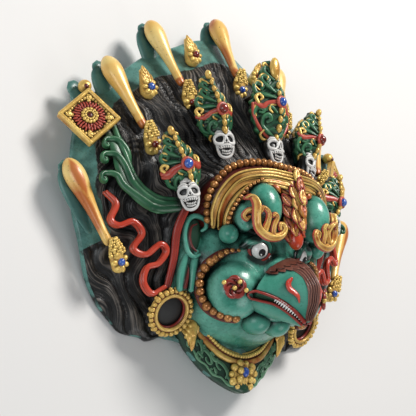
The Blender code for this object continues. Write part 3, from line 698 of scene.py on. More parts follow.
def ball(centre, radii, segments=16, rings=10, turn=None):
    """A ball in metres at a centre, with radii in millimetres."""
    clear()
    bpy.ops.mesh.primitive_uv_sphere_add(segments=segments, ring_count=rings, radius=1)
    obj = bpy.context.object
    size = Matrix.Diagonal((*[radius * MM for radius in triple(radii)], 1))
    obj.matrix_world = Matrix.Translation(centre) @ (turn or Matrix()) @ size
    return settled(obj)


def swept(points, radii, per_span):
    """The path and its radii with both ends rounded off."""
    path = through(points, per_span)
    widths = [width.x for width in through([Vector((radius, 0, 0)) for radius in radii], per_span)]
    first, last = (path[0] - path[1]).normalized(), (path[-1] - path[-2]).normalized()
    head, tail = [], []
    for step in (0.0, 0.35, 0.65, 0.88):
        size = sqrt(1 - (1 - step) ** 2) if step else 0.02
        head.append((path[0] + first * widths[0] * MM * (1 - step), widths[0] * size))
        tail.append((path[-1] + last * widths[-1] * MM * (1 - step), widths[-1] * size))
    rows = head + list(zip(path, widths)) + tail[::-1]
    return [place for place, _ in rows], [width for _, width in rows]


def profile(outline):
    """A closed outline, in units of the rod's radius, that a rod is drawn with."""
    clear()
    bpy.ops.curve.primitive_bezier_circle_add(radius=1)
    obj = bpy.context.object
    obj.data.splines.clear()
    line = obj.data.splines.new("POLY")
    line.points.add(len(outline) - 1)
    for point, (x, y) in zip(line.points, outline):
        point.co = (x * MM, y * MM, 0, 1)
    line.use_cyclic_u = True
    return obj


def oval(flat, sides=12, flutes=0, depth=0.0):
    """A flattened round outline, with grooves along it if it has flutes."""
    found = []
    for angle in turns(sides * 2 if flutes else sides):
        reach = 1 - depth * (0.5 - 0.5 * cos(flutes * angle)) if flutes else 1
        found.append((reach * cos(angle), flat * reach * sin(angle)))
    return found


def rod(points, radii, per_span=6, fineness=2, outline=None, cyclic=False):
    """A rod through points in metres, as thick at each as its radius in millimetres."""
    if isinstance(radii, (int, float)):
        radii = [radii] * len(points)
    if cyclic:
        path, widths = [Vector(point) for point in points], list(radii)
    else:
        path, widths = swept(points, radii, per_span)
    section = profile(outline) if outline else None
    clear()
    bpy.ops.curve.primitive_nurbs_path_add()
    obj = bpy.context.object
    data = obj.data
    data.splines.clear()
    line = data.splines.new("POLY")
    line.points.add(len(path) - 1)
    for point, place, width in zip(line.points, path, widths):
        point.co = (*place, 1)
        point.radius = width
    line.use_cyclic_u = cyclic
    data.dimensions = "3D"
    data.twist_mode = "Z_UP"
    data.use_fill_caps = not cyclic
    if section:
        data.bevel_mode = "OBJECT"
        data.bevel_object = section
    else:
        data.bevel_depth = MM
        data.bevel_resolution = fineness
    only(obj)
    bpy.ops.object.convert(target="MESH")
    obj = bpy.context.object
    if section:
        bpy.data.objects.remove(section)
    return mended(settled(obj))


def turned(rows, segments=24):
    """A turned shape along +Z: a circle extruded and resized up its (height, radius) rows in metres."""
    clear()
    height, radius = rows[0]
    bpy.ops.mesh.primitive_circle_add(
        vertices=segments, radius=radius, fill_type="NGON", location=(0, 0, height))
    obj = bpy.context.object
    bpy.ops.object.mode_set(mode="EDIT")
    bpy.ops.mesh.select_all(action="SELECT")
    for (low, was), (high, now) in zip(rows, rows[1:]):
        bpy.ops.mesh.extrude_region_move(TRANSFORM_OT_translate={"value": (0, 0, high - low)})
        size = now / was
        bpy.ops.transform.resize(value=(size, size, 1), center_override=(0, 0, high))
    bpy.ops.object.mode_set(mode="OBJECT")
    return mended(settled(obj))


def lofted(rings):
    """A closed skin over rings of like count: the way for sections that no primitive has."""
    count = len(rings[0])
    points = [tuple(point) for ring in rings for point in ring]
    faces = []
    for a in range(0, len(points) - count, count):
        b = a + count
        for i in range(count):
            j = (i + 1) % count
            faces.append((a + i, a + j, b + j, b + i))
    faces.append(tuple(range(count)))
    faces.append(tuple(range(len(points) - count, len(points))))
    mesh = bpy.data.meshes.new("loft")
    mesh.from_pydata(points, [], faces)
    return mended(shown(mesh))


def patch(columns, rows, find):
    """A thin raised sheet over find(across, down, top), the first two from 0 to 1, with an underside too."""
    def drawn(top, order):
        return [[find(i / (columns - 1), j / (rows - 1), top) for i in order] for j in range(rows)]

    upper, under = drawn(1, range(columns)), drawn(0, range(columns)[::-1])
    return lofted([a + b for a, b in zip(upper, under)])


def slab(rows, thick):
    """A sheet of rows of places, with a like sheet its thickness in metres under it."""
    under = [[point - UP * thick for point in row] for row in reversed(rows)]
    return lofted([list(column) for column in zip(*rows, *under)])


def grains(places, radii, segments, rings):
    """Balls with radii in millimetres, one at each place."""
    return copies(ball((0, 0, 0), radii, segments, rings), places)


def copies(model, places):
    """Copies of a model, each with its own mesh, set at its place and joined. The model is removed."""
    bm = bmesh.new()
    for place in places:
        before = len(bm.verts)
        bm.from_mesh(model.data)
        bm.verts.ensure_lookup_table()
        fresh = bm.verts[before:]
        bmesh.ops.transform(bm, matrix=place, verts=fresh)
        if place.determinant() < 0:
            faces = {face for vertex in fresh for face in vertex.link_faces}
            bmesh.ops.reverse_faces(bm, faces=list(faces))
    mesh = bpy.data.meshes.new("copies")
    bm.to_mesh(mesh)
    bm.free()
    bpy.data.objects.remove(model)
    return shown(mesh)


def grown(objects, voxel, smooth):
    """Grows overlapping forms into one skin and eases the creases between them."""
    obj = joined(objects)
    applied(obj, "REMESH", mode="VOXEL", voxel_size=voxel * MM)
    return applied(obj, "SMOOTH", factor=0.5, iterations=smooth)


def pushed(obj, change):
    """Moves every point by a function of its place, both in millimetres above the board's level."""
    moved = change(coordinates(obj) / MM - (0, 0, LIFT))
    obj.data.vertices.foreach_set("co", ((moved + (0, 0, LIFT)) * MM).ravel())
    obj.data.update()
    return obj


def petal(half_width, half_length, thick):
    """A cupped petal with a crease, lying flat with its point to +Y, in millimetres."""
    model = ball((0, 0, 0), (1, 1, 1), 16, 10)

    def shaped(points):
        x, y, z = (points + (0, 0, LIFT)).T
        wide = np.where(y > 0, 1 - 0.55 * y ** 1.4, 1 - 0.25 * y ** 2)
        crease = 0.3 * np.exp(-((x / 0.16) ** 2)) * (z > 0)
        z = z * thick * (0.55 + 0.45 * x ** 2) + 0.4 * y ** 2 * thick - crease * thick
        return np.column_stack([x * wide * half_width, y * half_length, z]) - (0, 0, LIFT)

    return pushed(model, shaped)


def kept_above(obj, wall=1.2):
    """Lifts whatever would show inside the hollow or under the back plane into the casting."""
    def lifted(points):
        floor = hollow_height(points) + wall
        return np.column_stack([points[:, 0], points[:, 1], np.maximum(points[:, 2], floor)])

    return pushed(obj, lifted)


def marked_for_shade(obj, lines, reach):
    """Marks how near each point of a piece is to lines of places, within a reach in millimetres, for painted
    shade along them.
    """
    points = coordinates(obj)
    nearest = np.full(len(points), 1.0)
    for place in [point for line in lines for point in line]:
        nearest = np.minimum(nearest, np.linalg.norm(points - np.array(place), axis=1))
    marked(obj, "shade_and_stain", np.exp(-((nearest / (reach * MM)) ** 2)))


def hollow_at(share):
    """The height of the hollow's skin, by the share of the way out to its mouth."""
    return HOLLOW_DEPTH * (1 - share ** 1.6) - LIFT


# Hair board ------------


def rise(angle):
    """Degrees above the side, the same on both sides of the middle plane."""
    return np.degrees(np.arcsin(np.clip(np.sin(angle), -1, 1)))


def hollow_height(points):
    """The height of the hollow's skin over places in millimetres, or of the back plane outside it."""
    x, y = points[:, 0], points[:, 1] - RIM_CENTRE_Y
    rim = ease(RIM_OUTLINE, rise(np.arctan2(y, x)))
    return hollow_at(np.clip(np.hypot(x, y) / (HOLLOW_SHARE * rim), 0, 1))


def locks(angle, share, sizes):
    """Relief of the hair in millimetres, how near each place is to a crest, and which strand it is on."""
    degrees = rise(angle)
    high = np.radians(degrees)
    side = np.where(np.cos(angle) < 0, 1.7, 0)
    start = np.interp(degrees, *zip(*FLOW_START))
    sweep = np.interp(degrees, *zip(*FLOW_SWEEP))
    broad = np.clip((14 - degrees) / 26, 0, 1)
    across = (start - sweep * share ** 1.3) * sizes.lock_density * (1 - 0.42 * broad)
    calm = 0.55 + 0.45 * np.clip((45 - degrees) / 60, 0, 1)
    wave = 0.62 * np.sin(6.5 * high + 7.5 * share + side) + 0.34 * np.sin(15 * share - 11 * high + side)
    across = across + calm * wave
    across = across + 0.13 * np.sin(27 * share + 19 * high + 2 * side)
    lock = np.abs(np.sin(np.pi * across)) ** 0.5
    phase = 4 * across + 0.5 * np.sin(9 * share + 6 * high) + 0.3 * np.sin(2.3 * across)
    strand = 0.5 + 0.5 * np.cos(2 * np.pi * phase) * (1 - 0.85 * broad)
    fade = np.clip((ease(MARGIN, degrees) + 0.01 - share) / 0.05, 0, 1)
    fade = fade * np.clip((1.005 - share) / 0.03, 0, 1)
    tall = sizes.lock_height / MM * (0.8 + 0.35 * np.sin(1.9 * across + side))
    relief = tall * (lock - 0.6) * (1 + 0.2 * broad) + 0.42 * tall * (strand - 0.5)
    return relief * fade, 0.5 * lock + 0.5 * strand, across


def make_hair(sizes):
    """The board as one skin: up the hollow, round its rim and back over the hair to the crown."""
    columns, hollow_rows, rim_rows, hair_rows = 640, 12, 6, 106
    clear()
    bpy.ops.mesh.primitive_grid_add(
        x_subdivisions=columns, y_subdivisions=hollow_rows + rim_rows + hair_rows - 1, size=2)
    obj = bpy.context.object
    angle = np.linspace(0, 2 * np.pi, columns + 1)
    rim = ease(RIM_OUTLINE, rise(angle))
    edge = ease(RIM_EDGE, rise(angle))
    foot = np.maximum(edge - 3.2, 0.6 - LIFT)
    inset = 0.4 + 1.2 * (foot + LIFT)
    none = np.zeros_like(angle)
    shares = np.linspace(0, 1, hollow_rows)
    radius = [HOLLOW_SHARE * rim * share for share in shares]
    height = [hollow_at(share) + none for share in shares]
    radius += [rim - inset - 0.2, rim - inset + 0.3, rim - 0.6, rim, rim + 0.1, rim - 0.4]
    height += [none - LIFT, none + 0.3 - LIFT, foot - 0.2, foot + 0.5, edge - 0.9, edge - 0.1]
    top = ease(HAIR_TOP, np.sin(angle))
    line = ease(MARGIN, rise(angle))
    crest = [none] * (hollow_rows + rim_rows)
    strand = list(crest)
    margin = [np.where(line > 1, 0.5, 3)] * (hollow_rows + rim_rows)
    for share in np.linspace(1, 0, hair_rows) ** 0.85:
        relief, near_crest, across = locks(angle, np.full_like(angle, share), sizes)
        surface = edge + (top - edge) * (1 - share) ** 0.93 + relief
        within = np.clip(share * (rim - 0.6) / (HOLLOW_SHARE * rim), 0, 1)
        radius.append(share * (rim - 0.6))
        height.append(np.maximum(surface, hollow_at(within) + 1.6))
        crest.append(near_crest)
        margin.append(0.5 + (share - line) / 0.03)
        strand.append(across)
    x = np.array(radius) * np.cos(angle)
    y = RIM_CENTRE_Y + np.array(radius) * np.sin(angle)
    places = np.stack([x, y, np.array(height) + LIFT], axis=-1) * MM
    obj.data.vertices.foreach_set("co", places.ravel())
    marked(obj, "crest", crest)
    marked(obj, "margin", np.clip(margin, 0, 3))
    marked(obj, "strand", strand)
    obj.data.update()
    piece(mended(obj), "hair_board", "hair")


def make_lobes():
    """The rounded teal pads of the board behind the clubs."""
    found = []
    ends = [club[1] for club in CLUBS] + [(70, 22, 10)]
    for place, end in zip(LOBES, ends):
        for side in sides(place):
            start = spot(place, side)
            way = spot(end, side) - start
            way.z = 0
            way = way.normalized()
            path = [start + way * step * MM - UP * 0.0019 for step in (-1.6, 0.6, 5, 10, 16, 22, 28)]
            found.append(rod(path, (4.4, 6.2, 7.4, 7.3, 6.6, 5.4, 3.8), 4, outline=oval(0.34, 24)))
    piece(found, "board_lobes", "pad")


# Head and face ------------


def beak_spot(along, around, lift=0.0, side_drop=0.0):
    """A place on the upper beak: along from the brow (0) to the tip (1), around from lip (-1) to lip (1)."""
    at = along * (len(BEAK_RIDGE) - 1)
    ridge = read_even(BEAK_RIDGE, at)
    lip = read_even(BEAK_LIP, at)
    width = width_at(BEAK_HALF_WIDTH, at)
    turn = around * pi / 2
    drop = 0.5 * (1 - cos(turn)) + 0.5 * abs(around)
    wide = 0.5 * sin(turn) + 0.5 * around
    out = Vector((sin(turn) * 0.9, -0.35 * cos(turn), cos(turn))).normalized()
    y = ridge[0] + (lip[0] - ridge[0]) * drop
    z = ridge[1] + (lip[1] - ridge[1]) * drop - side_drop
    return spot(Vector((width * wide, y, z)) + out * lift)


def make_face():
    """The head as one skin over balls and rods, its throat down to the collar, and its temples and chin."""
    forms = [ball(spot(centre), radii, segments, rings) for centre, radii, segments, rings in (
        ((0, -41.6, 2.4), (46, 42, 43), 48, 32),
        ((0, -38, 37), (8, 12, 9), 32, 20),
        ((0, -22, 36), (24, 18, 16), 32, 20),
        ((0, -67, 23), (13, 9, 10), 32, 20),
        ((0, -50.5, 43), (12, 8, 8), 24, 16),
        ((0, -70.2, 36), (10, 4, 6), 24, 16),
    )]
    patches = []
    for side in (1, -1):
        forms += [
            ball(spot((18, -22.6, 51), side), (9.2, 12.6, 9.4), 32, 22),
            ball(spot((26.2, -27.4, 45), side), (5, 7.4, 5.8), 24, 16),
            ball(spot((22, -58.8, 30), side), (15.4, 15, 14), 36, 24),
        ]
        for path, radii in (
            (((24, -40.4, 40.4), (21, -38, 43.4), (15, -36.6, 44.6), (9, -37.6, 44)), (1.6, 2.6, 2.8, 2)),
            (((41, -36, 24), (43, -46, 19), (42.5, -58, 16)), (5, 6, 4.5)),
            (((33, -70, 4), (22, -78, 5), (10, -82, 5.5), (0, -83.4, 5.5)), (4, 4.5, 4.5, 4.5)),
        ):
            forms.append(rod(spots(path, side), radii))
    inner = through(whole(COLLAR_INNER), 10)
    throat = []
    for k in range(15):
        share = k / 14
        row = []
        for point in inner:
            place = point.lerp(Vector((point.x * 0.62, -0.068, (15 + LIFT) * MM)), share)
            place.z -= 3.2 * MM * sin(pi * min(1, share * 1.15)) ** 0.8
            row.append(place)
        throat.append(row)
    face = grown(forms + [slab(throat, 4 * MM)], 0.88, 2)
    creases = [
        through(spots(path, side), 4) for side in (1, -1) for path in (
            ((20, -37, 44), (14, -34, 46), (7, -35, 47), (5, -41, 47), (9, -46, 45)),
            ((20, -45, 42), (14.5, -47.4, 43), (9, -46, 44)),
            ((29, -32, 43), (25, -35.6, 45), (18, -36.8, 47)),
            ((8, -12, 56), (6.6, -24, 54), (7, -34, 50)),
            ((25, -40, 42), (21, -41.6, 42.6)),
            ((13.5, -73, 34), (8, -70, 38), (0, -69, 40)),
        )
    ]
    # Painted shade: the skin darkens along these creases round the eyes, brows, forehead and chin.
    marked_for_shade(face, creases, 2.8)
    for centre, radii in (((31.6, -34.8, 39.8), 4.8), ((7.2, -73.4, 29.4), (7.4, 6.6, 7.4))):
        patches += [ball(spot(centre, side), radii, 28, 20) for side in (1, -1)]
    piece(patches, "temples_and_chin", "teal")
    piece(face, "face", "skin")


def make_eyes():
    white, pupils, lines, upper, lower, glints = [], [], [], [], [], []
    for side in (1, -1):
        centre = spot((14.2, -40.8, 41.6), side)
        gaze = Vector((side * 0.24, -0.56, 0.79)).normalized()
        at = placer(centre, turned_to(Vector((side * 0.42, -0.42, 0.8)), (side, 0, 0)))
        white.append(ball(centre, 5.3, 32, 20))
        pupils.append(ball(centre + gaze * 4.75 * MM, (2.0, 2.0, 0.85), 20, 12, turned_to(gaze)))
        # Painted highlight: a small white glint on each pupil.
        glints.append(ball(at(0.5, 0.9, 0) + gaze * 5.5 * MM, (0.55, 0.55, 0.3), 10, 8))

        def ring(reach, start, stop, lift, radii, fineness):
            """A rod round the eyeball, by degrees from its outer corner over the top."""
            path = []
            for k in range(len(radii)):
                angle = radians(start + (stop - start) * k / (len(radii) - 1))
                path.append(at(reach * cos(angle), side * reach * sin(angle), lift))
            return rod(path, radii, 4, fineness)

        upper.append(ring(5.2, -15, 190, 2.3, [0.7, 1.1] + [1.45] * 9 + [1.1, 0.7], 4))
        for reach, start, stop, lift, thin, thick in (
            (4.5, -10, 188, 3.1, 0.3, 0.55), (6.7, -25, 170, 1.6, 0.3, 0.5),
            (6.4, 0, -185, 1.0, 0.3, 0.6), (4.4, 0, -180, 3.1, 0.25, 0.32),
        ):
            lines.append(ring(reach, start, stop, lift, [thin] + [thick] * 11 + [thin], 2))
        lower.append(ring(5.1, 8, -188, 2.4, [0.5] + [1.05] * 11 + [0.5], 3))
    piece(white + glints, "eye_whites_and_glints", "white")
    piece(pupils, "pupils", "pupil")
    piece(lines, "lid_lines", "black")
    piece(upper, "upper_lids", "lid")
    piece(lower, "lower_lids", "red_deep")


def make_beak():
    rings = []
    for i in range(31):
        along = i / 30
        ring = [beak_spot(along, -1 + k / 14) for k in range(29)]
        roof = [ring[-1].lerp(ring[0], k / 6) + Vector((0, 0.0012, -0.0016)) for k in range(1, 6)]
        rings.append(ring + roof)
    piece(applied(lofted(rings), "SUBSURF", levels=1, render_levels=1), "beak", "teal")
    rings = []
    for i in range(21):
        at = i / 20 * (len(JAW_LIP) - 1)
        lip, under = read_even(JAW_LIP, at), read_even(JAW_UNDER, at)
        width = width_at(JAW_HALF_WIDTH, at)
        ring = []
        for k in range(17):
            angle = pi * k / 16
            sink = sin(angle)
            y, z = lip[0] + (under[0] - lip[0]) * sink, lip[1] + (under[1] - lip[1]) * sink
            ring.append(spot((width * cos(angle), y, z)))
        ring += [spot((-width * (1 - k / 3), lip[0] + 0.8, lip[1] - 1.2)) for k in range(1, 6)]
        rings.append(ring)
    piece(applied(lofted(rings), "SUBSURF", levels=1, render_levels=1), "lower_jaw", "teal")
    rings = []
    for i in range(13):
        along = 0.02 + 0.93 * i / 12
        at = along * (len(JAW_LIP) - 1)
        jaw = read_even(JAW_LIP, at)
        width = width_at(JAW_HALF_WIDTH, at) * 0.93
        floor = [spot((side * width, jaw[0] + 0.6, jaw[1] - 0.4)) for side in (1, -1)]
        rings.append([beak_spot(along, -0.95), beak_spot(along, 0.95)] + floor)
    piece(lofted(rings), "mouth", "mouth")


def make_tooth(side, share):
    """A cone that hangs from the lip at a share of the way to the tip."""
    root = beak_spot(share, side * 0.985, -0.1)
    size = 0.75 + 0.6 * sin(pi * min(1, max(0, share - 0.3) / 0.64)) ** 1.2
    way = Vector((side * 0.1, -0.62, -0.78)).normalized()
    clear()
    bpy.ops.mesh.primitive_cone_add(
        vertices=10, radius1=0.85 * size * MM, radius2=0.12 * MM, depth=2.3 * size * MM)
    tooth = bpy.context.object
    tooth.matrix_world = placed(root + way * size * MM, way)
    return settled(tooth)


def make_lips():
    lips, teeth, nostrils = [], [], []
    for side in (1, -1):
        path = [beak_spot(0.04 + 0.94 * k / 12, side * 0.99, 0.25) for k in reversed(range(13))]
        path.append(spot((side * 25.5, -64.2, 43.4)))
        for k in reversed(range(11)):
            at = (len(JAW_LIP) - 1) * (1 - k / 10)
            lip = read_even(JAW_LIP, at)
            path.append(spot((side * (width_at(JAW_HALF_WIDTH, at) + 0.1), lip[0] - 0.2, lip[1] + 0.2)))
        upper = [0.62 + 0.5 * (k / 12) ** 2 for k in reversed(range(13))]
        lower = [0.62 + 0.15 * (k / 10) for k in range(11)]
        lips.append(rod(path, upper + [0.62] + lower, 3))
        teeth += [make_tooth(side, 0.42 + 0.52 * k / 12) for k in range(13)]
        path = [beak_spot(along, side * around, 0.3) for along, around in (
            (0.342, 0.467), (0.37, 0.581), (0.44, 0.645), (0.521, 0.626), (0.598, 0.61), (0.683, 0.669))]
        nostrils.append(rod(path, (0.8, 1.7, 1.8, 1.5, 1.2, 0.4), 6, outline=oval(0.5)))
    tip = ball(beak_spot(0.985, 0, -1.6) + Vector((0, 0.001, -0.001)), (2.1, 1.6, 2.3), 20, 14)
    piece(lips, "lips", "red_deep")
    piece(tip, "beak_tip", "scarlet")
    piece(teeth, "teeth", "teeth")
    piece(nostrils, "nostrils", "scarlet")


def make_beak_feathers():
    """Scalloped feathers over the root of the beak, and the ribbed ridge that runs to its tip."""
    sheets = []
    for row, (end, high) in enumerate(((0.31, 0.9), (0.19, 1.4))):
        def feather(across, down, top, end=end, high=high, row=row):
            scallop = abs(sin(pi * (across * 11 + row * 0.5)))
            reach = end * (1 - 0.62 * (abs(across - 0.5) * 2) ** 1.5) - 0.055 * (1 - scallop)
            thick = high * (0.35 + 0.65 * down) + 0.25 * (scallop - 0.6)
            return beak_spot(0.01 + down * reach, (across - 0.5) * 1.18, thick if top else -2.4)
        sheets.append(patch(132, 12, feather))
    piece(sheets, "beak_feathers", "brown")

    def ridge(across, down, top):
        along = 0.16 + 0.825 * down
        half = float(np.interp(along, (0.16, 0.4, 0.6, 0.75, 0.85, 1), (0.34, 0.26, 0.31, 0.4, 0.52, 0.75)))
        phase = 2 * pi * across * 9 + 1.8 * sin(9 * down) + 0.7 * sin(23 * down)
        groove = 0.5 + 0.5 * cos(phase)
        edge = min(1, 8 * min(across, 1 - across))
        return beak_spot(along, (across - 0.5) * 2 * half, (0.3 + 0.7 * groove * edge) if top else -0.8)

    piece(patch(90, 44, ridge), "beak_ridge", "brown")


# Band, beads and brow ------------


def make_band(sizes):
    middle = BAND_MIDDLE
    between_ends = 2 * len(BAND_PATH) - 3
    radii = [1.3] + [2.3] * between_ends + [1.3]
    ridges = rod(whole(BAND_PATH), radii, 10, outline=oval(0.8, 24, 4, 0.2))
    inner = whole(shifted(BAND_PATH, 4.6, middle, -0.6))
    radii = [1.1] + [2.1] * between_ends + [1.1]
    inner_ridge = rod(inner, radii, 10, outline=oval(0.8, 24, 5, 0.24))
    thin = []
    for away, lift, radius in ((-1.9, 0.9, 0.55), (1.7, 1.5, 0.5), (2.6, 0.4, 0.6), (6.6, 0.2, 0.65)):
        thin.append(rod(whole(shifted(BAND_PATH, away, middle, lift)), radius, 8, 2))
    foot_path = ((32.4, -33.5, 38.6), (33.4, -26, 41.4), (31, -18.5, 46), (25, -12, 51), (18, -9.6, 54.4))
    leaves = []
    for side in (1, -1):
        thin.append(rod(spots(foot_path, side), (0.7, 1, 1, 0.9, 0.5), 8, 2))
        line = through(spots(shifted(BAND_PATH, 7.4, middle, 0.2), side), 10)
        for k in range(9):
            at = int(k / 8 * (len(line) - 14))
            root = line[at + 3]
            way = (Vector((0, -0.034, 0.060)) - root).normalized()
            turn = (line[at + 5] - root).normalized()
            bent = way * 0.75 + turn * 0.65
            size = 1.0 + 0.2 * sin(k * 2.1)
            path = [root - way * 0.001, root + bent * 0.0022 * size + UP * 0.0012,
                    root + bent * 0.0046 * size + UP * 0.0004]
            leaves.append(rod(path, (0.7, 1.5, 0.6), 5, outline=oval(0.7, 12, 2, 0.2)))
    sink = UP * 17 * MM
    outer_line = through(whole(shifted(BEAD_PATH, 0.7, middle)), 6)
    inner_line = through(whole(shifted(BAND_PATH, 6.6, middle)), 6)
    seat = lofted([[a, b, b - sink, a - sink] for a, b in zip(outer_line, inner_line)])
    piece(seat, "band_seat", "brown_red")
    piece([ridges] + thin, "band_ridges", "band")
    piece(inner_ridge, "band_inner_ridge", "rim")
    piece(leaves, "band_leaves", "orange")
    beads = [sized(place + UP * 0.0006, 1 + 0.06 * sin(k * 2.7))
             for k, place in enumerate(paced(through(whole(BEAD_PATH), 16), 37))]
    piece(grains(beads, sizes.bead_radius / MM, 14, 10), "band_beads", "copper")
    bead_path = ((33.4, -34.5, 40), (33.6, -28, 43), (31.4, -20.5, 47.4), (27, -13.5, 51.6), (21, -9.8, 55))
    small = [sized(place) for side in (1, -1) for place in paced(through(spots(bead_path, side), 8), 15)]
    piece(grains(small, 1.05, 10, 8), "band_foot_beads", "copper")


def make_brow_curls():
    curls, edges = [], []
    for side in (1, -1):
        for path, radii in BROW_CURLS:
            places = spots(path, side)
            thick = [radius * BROW_CURL_SIZE for radius in radii]
            curls.append(rod(places, thick, 4, outline=oval(0.95, 14, 4, 0.34)))
            low = [place - UP * 0.0008 for place in places]
            edges.append(rod(low, [radius + 0.4 for radius in thick], 4, outline=oval(0.55, 14)))
    piece(curls, "brow_curls", "brow")
    piece(edges, "brow_curl_edges", "red")


def petal_edge(place):
    """A thin rod round the tip of a flame petal."""
    path = []
    for j in range(17):
        angle = pi * (-0.3 + 1.6 * j / 16)
        x, y = cos(angle), sin(angle)
        wide = 1 - 0.55 * y ** 1.4 if y > 0 else 1 - 0.25 * y * y
        path.append(place @ (Vector((2.6 * x * wide, 4.8 * y, 0.6 + 0.6 * y * y)) * MM))
    return rod(path, 0.42, 2, 1)


def make_flame():
    """The flame between the brow curls: petals in rows over a body, with a bulb at its foot."""
    petals = []
    for side in (1, -1):
        for x, y, z, lean, size in (
            (2.6, -6, 57.2, 0.4, 0.7), (3.8, -9.6, 57.2, 0.8, 0.72), (5.4, -13, 55.6, 1.1, 0.7),
            (3.2, -14.6, 58.6, 0.5, 0.8), (5.6, -18.4, 56, 0.9, 0.8), (2.6, -20, 59.2, 0.35, 0.85),
            (5.4, -24, 55.6, 0.8, 0.85), (2.8, -26.6, 58.4, 0.3, 0.9), (5.2, -29.6, 54.8, 0.65, 0.85),
            (2.6, -32.6, 56.4, 0.25, 0.85), (4.4, -35.4, 53.4, 0.45, 0.8),
        ):
            along = Vector((side * sin(lean), cos(lean), 0.3))
            normal = Vector((side * (0.25 + 0.09 * x), 0.05, 0.92))
            across = along.cross(normal)
            petals.append(placed(spot((x, y, z), side), normal, across, (size, size, size * 1.2)))
    ridge = ((-5.6, 59.2, 0.9), (-11, 60.4, 0.95), (-17, 61, 1), (-23.4, 60.6, 1), (-29.6, 58.8, 0.95))
    for y, z, size in ridge:
        petals.append(placed(spot((0, y, z)), (0, 0.05, 1), size=(size, size, size * 1.2)))
    rims = [petal_edge(place) for k, place in enumerate(petals) if k % 3 != 1]
    body = rod(spots(((0, -4, 54), (0, -10, 56), (0, -20, 56.2), (0, -30, 54), (0, -36, 51.6))),
               (1.2, 3.6, 4.2, 4, 3), 6, 4)
    piece(copies(petal(2.7, 4.8, 1.9), petals[::2]), "flame_petals", "brow")
    piece(copies(petal(2.7, 4.8, 1.9), petals[1::2]), "red_flame_petals", "orange")
    piece(body, "flame_body", "brown_red")
    piece(rims, "flame_edges", "red_deep")
    lobes = [ball(spot((0, -36.2, 54.2)), (4.2, 6.2, 3.8), 24, 16)]
    lobes.append(ball(spot((0, -32.6, 55)), (3, 4, 3), 20, 14))
    for place in ((2.8, -34.6, 53.6), (-2.8, -34.6, 53.6), (1.4, -31, 56.4), (-1.4, -31, 56.4)):
        lobes.append(ball(spot(place), (1.7, 4.2, 1.9), 16, 12))
    piece(grown(lobes, 0.35, 1), "flame_bulb", "flame")


def cheek_flower(side):
    """A whorl of five bent petals on a disc, and the places of its gold tips."""
    centre = spot((31.2, -61.2, 40.6), side)
    turn = turned_to(Vector((side * 0.62, -0.2, 0.76)).normalized())
    at = placer(centre, turn)
    petals = []
    for spin in turns(5, 0.5):
        path = []
        for j in range(8):
            bend = spin + 2.3 * j / 7
            reach = 0.9 + 3.8 * sin(pi * (0.1 + 0.72 * j / 7))
            path.append(at(reach * cos(bend), reach * sin(bend), 0.9 + 0.8 * sin(pi * j / 7)))
        petals.append(rod(path, (1, 1.15, 1.2, 1.15, 1.05, 0.95, 0.8, 0.6), 3, outline=oval(0.7, 12)))
    petals.append(ball(centre, (3.4, 3.4, 1.2), 20, 12, turn))
    tips = []
    for spin, reach in ((2.2, 3.4), (3.3, 5.4), (0.3, 5.6), (5.2, 0.4)):
        tips.append(sized(at(reach * cos(spin) * side, reach * sin(spin), 1.9)))
    return petals, tips


def make_cheeks():
    beads, seats, petals, tips = [], [], [], []
    for side in (1, -1):
        path = spots(CHEEK_BEAD_PATH, side)
        line = through(path, 12)
        widths = [0.8, 1.5, 2.1] + [2.6] * (len(path) - 4) + [2.2]
        seats.append(rod([place - UP * 0.0004 for place in path], widths, 6, outline=oval(0.72, 16)))
        places = paced(line, 15)
        for k, place in enumerate(places[4:]):
            size = 0.94 + 0.1 * sin(k * 2.3) + 0.012 * k
            beads.append(sized(place + Vector((side * 0.0007, 0, 0.0013)), size))
        first, reach = places[4], (places[4] - line[0]).length * 1.08
        lead = [place for place in line if (place - first).length + (place - line[0]).length < reach]
        lead = paced(lead, 6)
        for k, (place, after) in enumerate(zip(lead, lead[1:])):
            size = 0.42 + 0.11 * k
            long = (size * 1.25, size * 0.95, size * 0.8)
            beads.append(placed(place + UP * 0.0012, UP, (after - place).normalized(), long))
        flower, gilded = cheek_flower(side)
        petals += flower
        tips += gilded
    piece(grains(beads, 2.2, 16, 12), "cheek_beads", "copper")
    piece(seats, "cheek_bead_seats", "brown_red")
    piece(petals, "cheek_flowers", "red_deep")
    piece(grains(tips, 1.2, 12, 8), "cheek_flower_tips", "gold")


# Ears, rings, ribbons and scarves ------------


